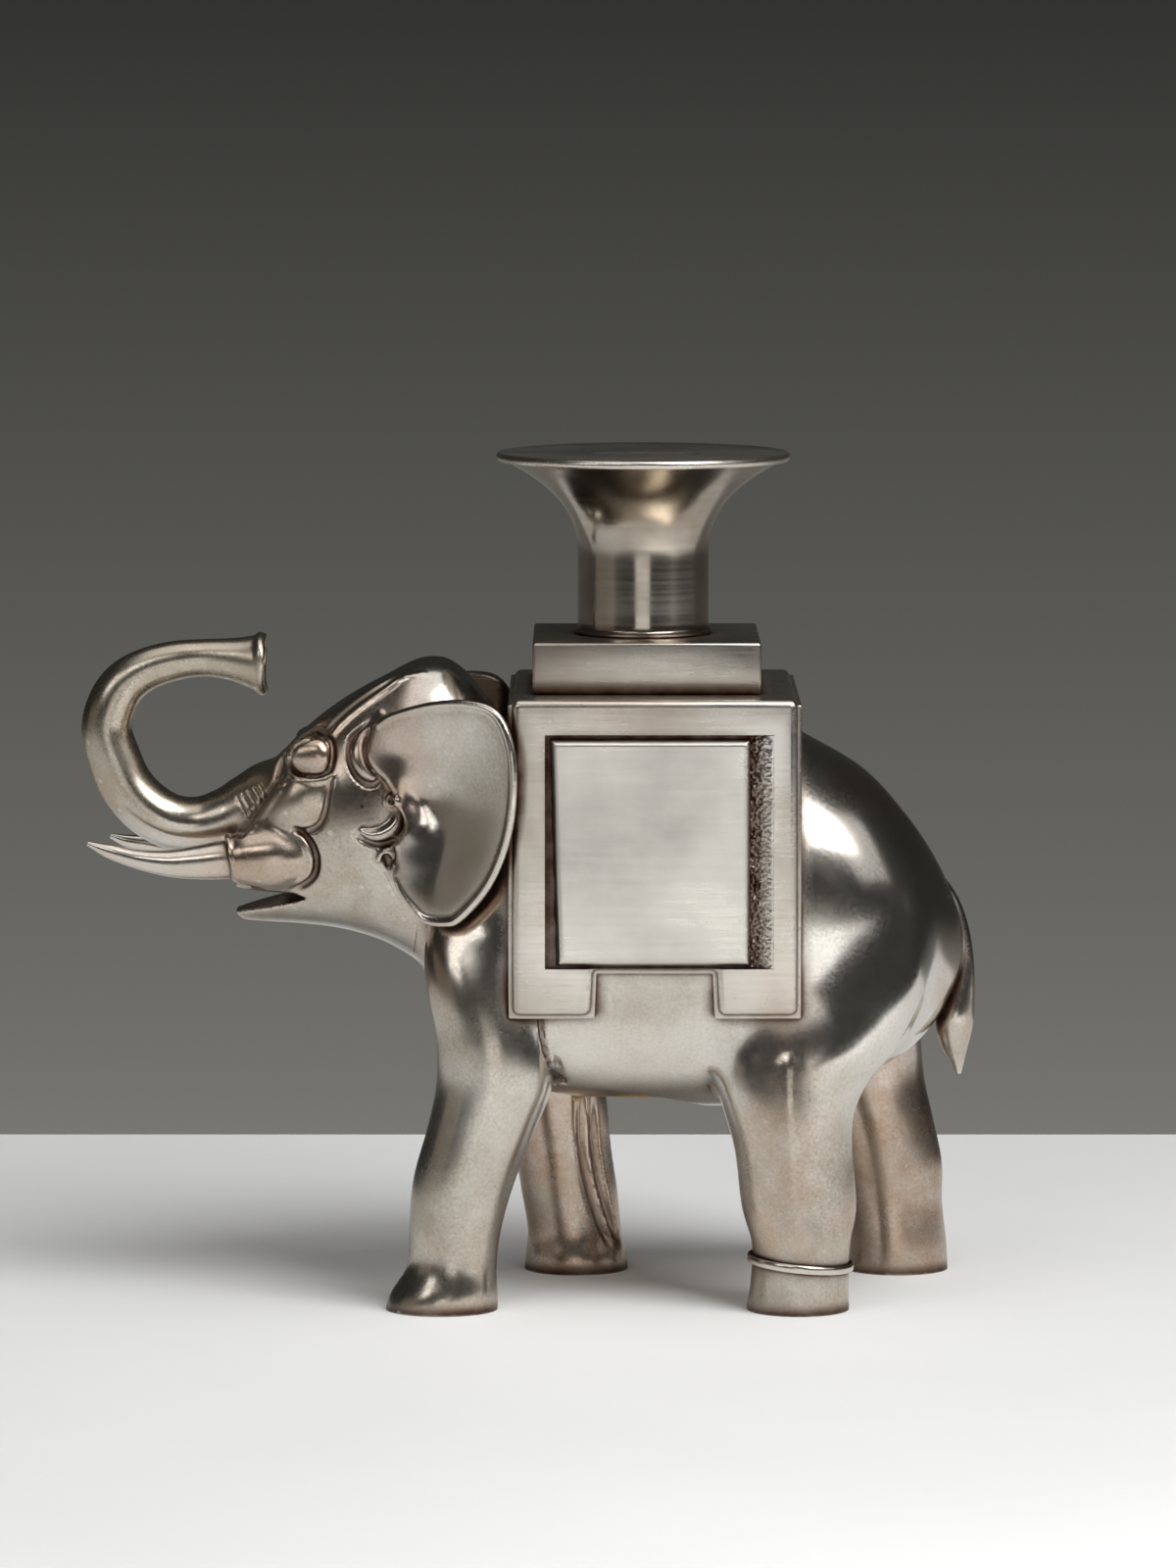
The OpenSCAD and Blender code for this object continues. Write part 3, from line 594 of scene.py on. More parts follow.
EAR_TOP = [(-43.5, 169.6), (-38.8, 172.6), (-27.6, 176.1), (-16.4, 177), (-8.5, 174.3), (-4, 164.5),
           (-3.2, 150.4), (-5.4, 136.4), (-10.8, 123.7), (-19.2, 113.8), (-23.6, 111.9), (-29.5, 112.3),
           (-33, 115.3), (-36.6, 119.6), (-38.4, 123.1)]
EAR_FRONT = [(-38.9, 126.1), (-37.9, 129), (-38, 132.6), (-38.6, 135.6), (-36.2, 138.2), (-35.5, 140.6),
             (-36.2, 143.2), (-38, 146), (-38.6, 148.8), (-39.5, 150.2), (-41.2, 152.8), (-43.8, 155),
             (-45.8, 157.6), (-46.4, 160), (-46, 163), (-45, 166.5)]
EAR_REGION = [(-43, 171.2), (-38.6, 174), (-27.6, 177.5), (-16.2, 178.4), (-7.4, 175.5), (-2.6, 165),
              (-1.8, 150.4), (-4, 136), (-9.6, 122.8), (-18.4, 112.6), (-23.4, 110.5), (-30.2, 110.9),
              (-34.4, 114.3), (-38.2, 119), (-40, 122.8), (-41.6, 125.6), (-44, 127.2), (-45.4, 130),
              (-45, 132.4), (-48.4, 133.8), (-51, 136.8), (-47.5, 140), (-42.6, 143), (-42.2, 147.4),
              (-44, 150), (-47.4, 150.2), (-50.6, 152.6), (-52.8, 157.2), (-53.1, 161.4), (-51.8, 165.4),
              (-48, 168.4)]
EAR_EDGE = (-45, 30.4)
EAR_SPREAD = 0.53
EAR_DISH = 5.6
EAR_CENTRE = (-30, 147)
EAR_THICK = 3.2
FOLD_UPPER = [(-44.8, 167.6), (-47.2, 164.6), (-48.6, 161.4), (-48.4, 158), (-46.9, 155), (-44.4, 153.2)]
FOLD_UPPER_R = [1.0, 1.9, 2.5, 2.5, 2.0, 1.1]
FOLD_UPPER_LINE = [(-45.2, 169.2), (-48.2, 166.6), (-51, 164), (-51.9, 160.8), (-51.4, 157), (-49.6, 153.4),
                   (-46.8, 151.2), (-44.2, 151.2), (-42.8, 152.4)]
FOLD_LOWER = [(-37.3, 144.6), (-37.1, 141.6), (-38.6, 138.8), (-41.6, 137), (-45, 136.6), (-47.4, 137.4)]
FOLD_LOWER_R = [1.2, 1.7, 2.1, 1.9, 1.4, 0.7]
FOLD_LOWER_LINE = [(-36.6, 137.2), (-39, 135.1), (-43, 133.9), (-46.6, 134.8), (-49, 136.2)]
FOLD_TRAGUS = [(-43, 129.4), (-41.8, 131.4), (-40, 132.2), (-38.4, 131), (-38, 128.6)]
FOLD_TRAGUS_R = [0.7, 1.0, 1.1, 1.0, 0.7]
TRAGUS_LINE = [(-41.2, 130.6), (-40.4, 129.2), (-40.2, 127.6)]
EAR_MIDDLE = (-25, 146)
EAR_CURL = (-39, 146.8, 1.5)


def ear_face(x):
    """Distance of an ear's face from the middle plane."""
    return EAR_EDGE[1] + EAR_SPREAD * (x - EAR_EDGE[0])


def outline_distance(outline, x, z):
    """Signed distance of points in the x-z plane from a closed outline, negative inside."""
    p = np.stack([x, z], -1)
    best = np.full(x.shape, 1e9)
    inside = np.zeros(x.shape, bool)
    for a, b in zip(outline, np.roll(outline, -1, axis=0)):
        ab = b - a
        t = np.clip(((p - a) @ ab) / (ab @ ab), 0, 1)
        best = np.minimum(best, np.linalg.norm(p - a - t[..., None] * ab, axis=-1))
        crosses = (a[1] > z) != (b[1] > z)
        reach = a[0] + (z - a[1]) / (b[1] - a[1] + 1e-12) * ab[0]
        inside ^= crosses & (x < reach)
    return np.where(inside, -best, best)


def ease(t):
    t = np.clip(t, 0, 1)
    return t * t * (3 - 2 * t)


def add_ear(clay, side):
    """Dished plate with a raised rim, thick at its root, with the folds of its front edge."""
    outline = refine_loop(EAR_TOP + EAR_FRONT, 4)
    near, far = (-60, -20) if side < 0 else (20, 60)
    where, start = clay.window((-54, near, 108), (0, far, 181), 0)
    part = clay.field[where]
    x, y, z = [(start[k] + np.arange(part.shape[k])) * clay.voxel for k in range(3)]
    xx, zz = np.meshgrid(x, z, indexing="ij")
    edge = outline_distance(outline, xx, zz)
    inward = np.hypot(xx - EAR_CENTRE[0], zz - EAR_CENTRE[1])
    share = inward / (inward + np.maximum(-edge, 0))
    depth = EAR_DISH * (1 - ease((share - 0.1) / 0.83))
    soften(depth, 40)
    front = ear_face(xx) - depth
    thick = EAR_THICK + 10 * ease((-36 - xx) / 9)
    middle = (front - thick / 2)[:, None, :]
    slab = (np.abs(side * y[None, :, None] - middle) - (thick / 2)[:, None, :]) * 0.88
    plate = -smooth_min(-slab, -edge[:, None, :], 1.6)
    clay.field[where] = smooth_min(part, plate.astype(np.float32), 2.0)
    rim = refine(EAR_TOP, 6)
    inward = np.array(EAR_MIDDLE) - rim
    rim = rim + inward / np.linalg.norm(inward, axis=1)[:, None]
    path = np.stack([rim[:, 0], side * (ear_face(rim[:, 0]) - 0.3), rim[:, 1]], -1)
    t = np.linspace(0, 1, len(path))
    clay.draw(path, 0.45 + 0.75 * ease(5 * t) * ease(3 * (1 - t)), 0.7)
    folds = ((FOLD_UPPER, FOLD_UPPER_R, 0.1), (FOLD_LOWER, FOLD_LOWER_R, -0.1),
             (FOLD_TRAGUS, FOLD_TRAGUS_R, 0.2))
    for spots, radius, lift in folds:
        rows = refine(np.column_stack([spots, radius]), 5)
        p, n = clay.on_side(rows[:, :2], side)
        clay.draw(p + (lift * rows[:, 2])[:, None] * n, rows[:, 2], 1.0)
    a = np.linspace(0, 2 * np.pi, 17)
    x0, z0, r = EAR_CURL
    curl, _ = clay.on_side(np.stack([x0 + r * np.cos(a), z0 + r * np.sin(a)], -1), side)
    clay.draw(curl, 0.75, 0.4)
    clay.groove(FOLD_UPPER_LINE, 0.8, 0.9, 0.6, (side,))
    clay.groove(FOLD_LOWER_LINE, 0.9, 0.9, 0.6, (side,))
    clay.groove(TRAGUS_LINE, 1.0, 1.2, 0.5, (side,))


# Hard shapes

def prism_object(name, outline, near, far):
    """Solid of an outline in x and z, carried across from y = near(x) to y = far(x)."""
    outline = np.array(outline, float)
    n = len(outline)
    sides = [np.stack([outline[:, 0], y(outline[:, 0]), outline[:, 1]], -1) for y in (near, far)]
    i = np.arange(n)
    walls = np.stack([i, (i + 1) % n, (i + 1) % n + n, i + n], -1)
    return solid_object(name, np.vstack(sides), walls, i[None, :], i[None, ::-1] + n)


def flat_prism(name, outline, near, far):
    return prism_object(name, outline, lambda x: 0 * x + near, lambda x: 0 * x + far)


def turned(profile, centre, sides=192):
    """Rings of a profile of radius and height, turned about an upright axis."""
    profile = np.array(profile, float)
    r, z = profile[:, :1], profile[:, 1:]
    angle = around(sides)
    x, y = centre[0] + r * np.cos(angle), centre[1] + r * np.sin(angle)
    return np.stack([x, y, centre[2] + z + 0 * angle], -1)


def lathe_object(name, profile, centre, sides=192):
    """Ring turned from a closed profile."""
    rings = turned(profile, centre, sides)
    m = len(rings)
    i, k = np.meshgrid(np.arange(m), np.arange(sides), indexing="ij")
    a, b = i * sides + k, i * sides + (k + 1) % sides
    c, d = (i + 1) % m * sides + (k + 1) % sides, (i + 1) % m * sides + k
    return solid_object(name, rings.reshape(-1, 3), np.stack([a, b, c, d], -1).reshape(-1, 4))


PLATE_BACK = 2.4


def plate_object(name, x, z, height, side, foot):
    """Plate on one face of the saddle: height(x, z) out from the y of its foot, over a grid."""
    xx, zz = np.meshgrid(x, z, indexing="ij")
    rows, columns = xx.shape
    front = np.stack([xx, side * (foot + height(xx, zz)), zz], -1)
    back = np.stack([xx, side * (foot - PLATE_BACK) + 0 * xx, zz], -1)
    count = rows * columns
    index = np.arange(count).reshape(rows, columns)
    corners = index[:-1, :-1], index[1:, :-1], index[1:, 1:], index[:-1, 1:]
    face = np.stack(corners, -1).reshape(-1, 4)
    border = np.concatenate([index[:, 0], index[-1, 1:], index[-2::-1, -1], index[0, -2:0:-1]])
    after = np.roll(border, -1)
    walls = np.stack([after, border, border + count, after + count], -1)
    points = np.vstack([front.reshape(-1, 3), back.reshape(-1, 3)])
    return solid_object(name, points, face, face[:, ::-1] + count, walls)


def bevel(obj, width, segments):
    """Eases the edges sharper than 30 degrees."""
    modifier = obj.modifiers.new("edges", "BEVEL")
    modifier.width = width * MM
    modifier.segments = segments
    modifier.limit_method = "ANGLE"
    modifier.angle_limit = math.radians(30)


# Cutting the skins into the pieces of the frame

EAR_ROOT = 8.8
WELD = 0.01 * MM


def ear_tool(side):
    """Solid round an ear, from outside the figure to the ear's root in the head."""
    outline = refine_loop(EAR_REGION, 4)
    return prism_object("tool", outline, lambda x: side * (60 + 0 * x),
                        lambda x: side * (ear_face(x) - EAR_ROOT))


def many_sided(bm):
    return [face for face in bm.faces if len(face.verts) > 4]


def mend(obj):
    """Welds the slivers that a cut leaves, and splits the faces of more than four corners."""
    bm = bmesh.new()
    bm.from_mesh(obj.data)
    bmesh.ops.remove_doubles(bm, verts=bm.verts, dist=WELD)
    bmesh.ops.dissolve_degenerate(bm, dist=WELD, edges=bm.edges)
    bmesh.ops.connect_verts_concave(bm, faces=many_sided(bm))
    bmesh.ops.triangulate(bm, faces=many_sided(bm))
    bmesh.ops.dissolve_degenerate(bm, dist=WELD, edges=bm.edges)
    bm.to_mesh(obj.data)
    bm.free()


def finish_piece(obj, name, slot, *nodes, angle=35):
    """Names a piece, binds it to the figure, and gives it the material of its slot and its shading."""
    obj.name = obj.data.name = name
    if slot == "casting":
        mend(obj)
    shade(obj, angle)
    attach(obj, "figure")
    if nodes:
        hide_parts(*nodes)
    obj.data.materials.clear()
    obj.data.materials.append(materials[slot])


NECK_CUT = [(-20, 200), (-35.5, 85), (-140, 85), (-140, 200)]
TRUNK_CUT = [(-140, 118), (-88.6, 118), (-88.6, 172.5), (-68, 172.5), (-68, 200), (-140, 200)]
RIGHT_TUSK_CUT = 4.5
WALL = 3.5
AXIS_X = 33.2
AXIS = [(AXIS_X, 0)]
CHUTE_BORE = 18.2
TRAP_BORE = 22.05
TRAP_PAD = 26
TIE_SPOTS = (2, 70)
TIE_Z = 120
TIE_BORE = 2.1
TIE_HEAD = 4.2
TIE_BOSS = 6
SCREW_SPOTS = [(AXIS_X + dx, dy) for dx in (-26, 26) for dy in (-9, 9)]
SCREW_BORE = 2.2
SCREW_HEAD = 4.3
SCREW_BOSS = 5
SCREW_THREAD = 2.05


def bores(spots, low, high, radius, sides=24):
    """Tools for upright bores."""
    return [rod((x, y, low), (x, y, high), radius, sides) for x, y in spots]


def tie_bores(near, far, radius, sides=24):
    """Tools for bores across the body, where the tie screws run."""
    return [rod((x, near, TIE_Z), (x, far, TIE_Z), radius, sides) for x in TIE_SPOTS]


def tusk_rows(side, cut):
    """Rows of a tusk whose tip ends short by a cut."""
    k = cut / 46
    rows = [[-72, 17, 128.8, 5.2, 1], [-80, 17, 128.8, 5.4, 1], [-88, 17.3, 128.2, 5.6, 1],
            [-96 + 4 * k, 17.6, 127.5, 4.9, 1], [-104 + 14 * k, 17.9, 127.3, 3.9, 1],
            [-113 + 24 * k, 18, 128.5, 2.8, 1], [-121 + 36 * k, 17.8, 130.7 - 12 * k, 2, 1],
            [-127.3 + 46 * k, 17.4, 133 - 18 * k, 0.7, 1]]
    return mirrored(rows, side)


# Materials

class Graph:
    """Node graph of a material or the world; values that aren't sockets are set on the node itself."""

    def __init__(self, owner, place):
        owner.use_nodes = True
        self.tree = owner.node_tree
        self.place = self.add("ShaderNodeTexCoord").outputs[place]

    def add(self, kind, inputs=(), **settings):
        node = self.tree.nodes.new(kind)
        for key, value in settings.items():
            setattr(node, key, value)
        for key, value in dict(inputs).items():
            self.put(node, key, value)
        return node

    def put(self, node, key, value):
        if isinstance(value, bpy.types.NodeSocket):
            self.tree.links.new(value, node.inputs[key])
        else:
            node.inputs[key].default_value = value

    def stretched(self, scale):
        return self.add("ShaderNodeMapping", {"Vector": self.place, "Scale": scale}).outputs[0]

    def noise(self, scale, detail=3.0, place=None):
        return self.add("ShaderNodeTexNoise", {"Vector": place or self.place, "Scale": scale,
                                               "Detail": detail}).outputs["Fac"]

    def span(self, value, low, high, to_low=0.0, to_high=1.0):
        return self.add("ShaderNodeMapRange", {"Value": value, "From Min": low, "From Max": high,
                                               "To Min": to_low, "To Max": to_high}).outputs[0]

    def math(self, operation, a, b):
        return self.add("ShaderNodeMath", {0: a, 1: b}, operation=operation, use_clamp=False).outputs[0]

    def mix(self, factor, a, b):
        return self.add("ShaderNodeMix", {0: factor, 6: a, 7: b}, data_type="RGBA").outputs[2]

    def bump(self, height, distance, below=None):
        inputs = {"Height": height, "Distance": distance * MM, "Strength": 1.0}
        if below:
            inputs["Normal"] = below
        return self.add("ShaderNodeBump", inputs).outputs[0]


class Shader(Graph):
    """Graph of one material, in the coordinates of its object."""

    def __init__(self, name):
        self.material = bpy.data.materials.new(name)
        super().__init__(self.material, "Object")
        self.surface = self.tree.nodes["Principled BSDF"]


def linear(red, green, blue):
    """Colour given in the 0 to 255 steps of a picture."""
    c = np.array([red, green, blue]) / 255
    c = np.where(c <= 0.04045, c / 12.92, ((c + 0.055) / 1.055) ** 2.4)
    return (*c, 1.0)


SILVER = linear(220, 216, 209)
TONED = linear(180, 170, 154)
# Brown of the crevices and joins: partly tarnish, partly painted shade
BROWN = linear(74, 50, 36)
COPPER = linear(172, 128, 98)
# Scale of the brush marks along each axis
ALONG_X = (40, 800, 800)
ALONG_Z = (800, 800, 40)
AROUND_Z = (12, 12, 800)
# Depth of the soft waves in the worked metal
WAVES = 0.12


def metal(name, clean, toned, rough, brush=None, crevice=BROWN, copper=0.3, lines=0.004, cast=False):
    """Old plated metal: tarnish in clouds, copper where little plate covers it and as painted shade in
    broad hollows, and brown in the crevices and joins, partly tarnish and partly painted shade.

    A cast piece is also darker and rougher on its lower legs and trunk, and bright on its edges; its far
    legs are coppery, partly tarnish and partly painted shade.
    """
    s = Shader(name)
    clouds = s.span(s.noise(24, 6), 0.36, 0.66)
    mottle = s.noise(150, 5)
    speckle = s.noise(1100, 3)
    strokes = s.noise(1.0, 3, s.stretched(brush)) if brush else speckle
    # Ambient occlusion, near and wide, from which shade is painted into the colour below
    near = s.add("ShaderNodeAmbientOcclusion", {"Distance": 4 * MM}, samples=8).outputs["AO"]
    wide = s.add("ShaderNodeAmbientOcclusion", {"Distance": 14 * MM}, samples=8).outputs["AO"]
    # Painted shade: brown in crevices and where parts meet, from the near ambient occlusion broken by
    # mottle; partly tarnish in the hollows
    crevice_tarnish_and_shade = s.math("MULTIPLY", s.span(near, 0.98, 0.68), s.span(mottle, 0.25, 0.6, 0.75, 1.0))
    thin_plate_and_shade = s.span(s.noise(19, 4, s.stretched((1.3, 0.8, 1.0))), 0.5, 0.72)
    # Painted shade: copper darkening in broad hollows, from the wide ambient occlusion
    thin_plate_and_shade = s.math("MAXIMUM", thin_plate_and_shade, s.span(wide, 0.78, 0.4))
    tarnish = s.math("MULTIPLY", clouds, s.span(mottle, 0.3, 0.7, 0.6, 1.0))
    roughness = s.span(clouds, 0.0, 1.0, rough - 0.05, rough + 0.06)
    roughness = s.math("ADD", roughness, s.span(strokes, 0.3, 0.7, -0.03, 0.04))
    roughness = s.math("ADD", roughness, s.math("MULTIPLY", crevice_tarnish_and_shade, 0.25))
    if cast:
        x, y, z = s.add("ShaderNodeSeparateXYZ", {"Vector": s.place}).outputs
        # Copper on the low legs of the far side: partly tarnish, partly painted shade of the side away from
        # the camera and lamps
        far_leg = s.math("MULTIPLY", s.span(y, 0.0, 0.02), s.span(z, 0.09, 0.06))
        thin_plate_and_shade = s.math("MAXIMUM", thin_plate_and_shade, s.math("MULTIPLY", far_leg, s.span(mottle, 0.2, 0.7, 0.3, 1.0)))
        # Darker and rougher on the lower legs and the trunk
        trunk = s.math("MULTIPLY", s.span(x, -0.058, -0.075), s.span(z, 0.132, 0.142))
        darker_low_legs_and_trunk = s.math("MAXIMUM", s.span(z, 0.075, 0.045, 0.0, 0.7), trunk)
        tarnish = s.math("MAXIMUM", tarnish, s.math("MULTIPLY", darker_low_legs_and_trunk, s.span(mottle, 0.3, 0.7, 0.7, 1.2)))
        roughness = s.math("ADD", roughness, s.math("MULTIPLY", darker_low_legs_and_trunk, 0.09))
    if brush:
        tarnish = s.math("ADD", tarnish, s.span(strokes, 0.3, 0.7, -0.08, 0.08))
    else:
        tarnish = s.math("ADD", tarnish, s.span(speckle, 0.35, 0.7, -0.1, 0.2))
    colour = s.mix(tarnish, clean, toned)
    if copper:
        # Copper where little plate covers it, and copper painted as shade in broad hollows and on the far
        # legs
        colour = s.mix(s.math("MULTIPLY", thin_plate_and_shade, copper), colour, COPPER)
    # Painted shade and tarnish: brown in the crevices
    colour = s.mix(crevice_tarnish_and_shade, colour, crevice)
    if cast:
        edges = s.span(s.add("ShaderNodeNewGeometry").outputs["Pointiness"], 0.515, 0.57)
        colour = s.mix(s.math("MULTIPLY", edges, 0.5), colour, clean)
        roughness = s.math("SUBTRACT", roughness, s.math("MULTIPLY", edges, 0.08))
    s.put(s.surface, "Base Color", colour)
    s.put(s.surface, "Metallic", 1.0)
    s.put(s.surface, "Roughness", roughness)
    normal = s.bump(s.noise(38, 2), WAVES)
    normal = s.bump(speckle, 0.005 if cast else 0.002, normal)
    if brush:
        normal = s.bump(strokes, lines, normal)
    s.put(s.surface, "Normal", normal)
    return s.material


# The crevice colours below mix tarnish with painted shade
materials = {
    "casting": metal("aged_silver_casting", SILVER, TONED, 0.19, copper=0.5, cast=True),
    "tusk": metal("polished_silver_tusk", SILVER, linear(206, 194, 178), 0.2),
    "anklet": metal("bright_silver_ring", SILVER, linear(206, 196, 182), 0.18, copper=0.1),
    "saddle": metal("brushed_silver_saddle", linear(212, 207, 199), linear(186, 175, 160), 0.27, ALONG_X,
                    copper=0.25),
    "panel": metal("satin_silver_panel", linear(220, 215, 207), linear(192, 188, 181), 0.31, ALONG_X,
                   copper=0.0),
    "plinth": metal("brushed_silver_plinth", linear(192, 186, 176), linear(154, 144, 130), 0.3, ALONG_X,
                    copper=0.25),
    "neck": metal("turned_silver_neck", linear(190, 184, 174), linear(150, 138, 122), 0.16, AROUND_Z,
                  copper=0.35, lines=0.002),
    "disc": metal("dull_silver_disc", SILVER, linear(186, 176, 162), 0.27, ALONG_X, copper=0.15),
    "trap_brass": metal("brass_trap", linear(222, 190, 128), linear(176, 140, 88), 0.3, ALONG_X,
                        linear(78, 54, 30)),
    "lock": metal("brass_lock", linear(226, 196, 136), linear(182, 148, 96), 0.26, ALONG_X,
                  linear(70, 50, 30)),
    "steel": metal("screw_steel", linear(176, 176, 178), linear(128, 126, 124), 0.34, ALONG_Z,
                   linear(60, 48, 40), copper=0.0),
}


# Head, ears and trunk

clay = head_clay()
clay.knead(13, 0.1)
for side in (-1, 1):
    add_ear(clay, side)
whole = clay.mesh("whole")
ears = {}
for side, name in ((-1, "left_ear"), (1, "right_ear")):
    tool = ear_tool(side)
    ears[name] = part_inside(whole, name, tool)
    remove(tool)
trunk_tool = flat_prism("tool", TRUNK_CUT, -80, 80)
trunk = part_inside(whole, "trunk", trunk_tool)
remove(whole)

clay.add(barrel(), 5)
for rows, side in LEGS[:2]:
    clay.add(leg(rows, side), 7)
head = clay.mesh("head")
combine(head, trunk_tool, "DIFFERENCE")
neck_tool = flat_prism("tool", NECK_CUT, -80, 80)
combine(head, neck_tool, "INTERSECT")
cut_away(head, ear_tool(-1), ear_tool(1))
for side, cut, name in ((-1, 0, "left_tusk"), (1, RIGHT_TUSK_CUT, "right_tusk")):
    tusk = solid_object(name, *bar(tusk_rows(side, cut), 10, 48))
    combine(head, tusk, "DIFFERENCE")
    combine(trunk, tusk, "DIFFERENCE")
    finish_piece(tusk, name + "_cast", "tusk", name)
finish_piece(head, "head_casting", "casting", "head")
for name, ear in ears.items():
    finish_piece(ear, name + "_casting", "casting", name)
finish_piece(trunk, "trunk_casting", "casting", "trunk")


# Body halves, hollow inside

clay = body_clay()
body = clay.mesh("body")
saddle_seat = clay.mesh("saddle_seat", -0.4)
combine(body, neck_tool, "DIFFERENCE")
remove(trunk_tool, neck_tool)

tail = solid_object("tail", *bar(TAIL, 10, 48))
combine(tail, body, "DIFFERENCE")
finish_piece(tail, "tail_casting", "casting", "tail")

hollow = solid_object("hollow", *barrel(WALL, 96))
cut_away(hollow, *tie_bores(-60, 60, TIE_BOSS, 64), *bores(SCREW_SPOTS, 165, 190, SCREW_BOSS, 64),
         *bores(AXIS, 40, 65.1, TRAP_PAD, 64))
cut_away(body, hollow, *bores(AXIS, 120, 200, CHUTE_BORE, 64), *bores(AXIS, 40, 80, TRAP_BORE, 64),
         *tie_bores(-25, 60, TIE_BORE), *tie_bores(38, 68, TIE_HEAD),
         *bores(SCREW_SPOTS, 150, 190, SCREW_BORE), *bores(SCREW_SPOTS, 151, 165, SCREW_HEAD))
for side, name in ((-1, "left"), (1, "right")):
    tool = box_object("tool", (-70, min(0, 80 * side), 0), (150, max(0, 80 * side), 210))
    half = part_inside(body, name, tool)
    remove(tool)
    finish_piece(half, f"{name}_body_casting", "casting", f"body_{name}")
remove(body)


# Saddle with its panels

SADDLE = [(-4.5, 177.5), (-4.5, 87), (18, 87), (18.6, 100), (53.9, 100), (54.5, 87), (77, 87), (77, 177.5)]
SADDLE_Y = 48.5
FLANGE = [(-5.6, 176), (-5.6, 85.9), (19.1, 85.9), (19.7, 98.9), (52.8, 98.9), (53.4, 85.9), (78.1, 85.9),
          (78.1, 176)]
FLANGE_Y = 46.9
RECESS = [(4.9, 100.4), (70.2, 100.4), (70.2, 167.6), (4.9, 167.6)]

saddle = flat_prism("saddle", SADDLE, -SADDLE_Y, SADDLE_Y)
bevel(saddle, 2.2, 6)
settle(saddle)
flange = flat_prism("flange", FLANGE, -FLANGE_Y, FLANGE_Y)
bevel(flange, 0.5, 3)
settle(flange)
combine(saddle, flange, "UNION")
remove(flange)
cut_away(saddle, saddle_seat)
for side in (-1, 1):
    cut_away(saddle, flat_prism("tool", RECESS, side * (SADDLE_Y - PLATE_BACK), side * (SADDLE_Y + 5)))
cut_away(saddle, *bores(AXIS, 150, 210, CHUTE_BORE, 96), *bores(SCREW_SPOTS, 160, 200, SCREW_BORE))
finish_piece(saddle, "saddle_box", "saddle", "saddle")

PANEL_LOW = (6.4, 101.2)
PANEL_HIGH = (63.5, 166.3)
PANEL_MIDDLE = (35, 133.7)
PANEL_HALF = (28.5, 32.6)
PANEL_SLANT = 2.0
PANEL_SUNK = 2.3
PANEL_OUT = 1.8
PANEL_EDGE = 1.7
PANEL_FOOT = 2.8
PANEL_CROWN = 0.3
PANEL_LEAN = 0.25


def panel_height(x, z):
    """Crowned plate with a rounded edge all round; its front edge leans a little."""
    left = PANEL_LOW[0] + PANEL_SLANT * (PANEL_HIGH[1] - z) / (PANEL_HIGH[1] - PANEL_LOW[1])
    across = np.minimum(x - left, PANEL_HIGH[0] - x) / PANEL_EDGE
    up = np.minimum((z - PANEL_LOW[1]) / PANEL_FOOT, (PANEL_HIGH[1] - z) / PANEL_EDGE)
    t = np.clip(np.minimum(across, up), 0, 1)
    p = (x - PANEL_MIDDLE[0]) / PANEL_HALF[0]
    q = (z - PANEL_MIDDLE[1]) / PANEL_HALF[1]
    rise = (PANEL_OUT + PANEL_SUNK + PANEL_LEAN * q) * np.sqrt(np.clip(1 - (1 - t) ** 2, 0, 1))
    return rise - PANEL_SUNK + PANEL_CROWN * (1 - p**2) * (1 - q**2)


STRIP_LOW = (63.4, 100.6)
STRIP_HIGH = (70.2, 167.4)
STRIP_SUNK = 1.9
STRIP_RISE = 1.85
STRIP_GRAIN = 0.22


def eased_steps(low, high, count, close):
    """Positions from low to high that lie closer together near both ends."""
    t = np.linspace(0, 1, count)
    return low + (high - low) * ((1 - close) * t + close * t * t * (3 - 2 * t))


for side, name in ((-1, "left"), (1, "right")):
    x = eased_steps(PANEL_LOW[0], PANEL_HIGH[0], 70, 0.9)
    z = eased_steps(PANEL_LOW[1], PANEL_HIGH[1], 80, 0.9)
    panel = plate_object(name, x, z, panel_height, side, SADDLE_Y)
    finish_piece(panel, f"{name}_saddle_panel", "panel", f"{name}_panel", angle=60)
    x = np.linspace(STRIP_LOW[0], STRIP_HIGH[0], 22)
    z = np.linspace(STRIP_LOW[1], STRIP_HIGH[1], 200)
    grain = rng.normal(size=(len(x), len(z)))
    grain = grain + 0.5 * (np.roll(grain, 1, 0) + np.roll(grain, 1, 1))

    def strip_height(xx, zz):
        """Rough ground that climbs from the bottom of the recess to the frame."""
        slope = ease((xx - 64.5) / 5.5)
        return -STRIP_SUNK + STRIP_RISE * slope + STRIP_GRAIN * grain * (1 - 0.9 * slope)

    strip = plate_object(name, x, z, strip_height, side, SADDLE_Y)
    finish_piece(strip, f"{name}_saddle_strip", "saddle", angle=80)


# Plinth, neck and slotted disc

PLINTH_X = 34.1
PLINTH_HALF = 32.75
PLINTH_Z = 177.5
NECK_Z = 192.5
NECK_SOCKET = 18.05
NECK_R = 19
NECK_WALL = 2.5
NECK_TALL = 50.1
MOUTH_R = 40
STRAIGHT = 22

plinth = box_object("plinth", (PLINTH_X - PLINTH_HALF, -PLINTH_HALF, PLINTH_Z),
                    (PLINTH_X + PLINTH_HALF, PLINTH_HALF, NECK_Z))
bevel(plinth, 0.9, 3)
settle(plinth)
cut_away(plinth, *bores(AXIS, 170, 200, NECK_SOCKET, 96), *bores(SCREW_SPOTS, 170, 186.5, SCREW_THREAD))
finish_piece(plinth, "plinth_block", "plinth", "plinth")


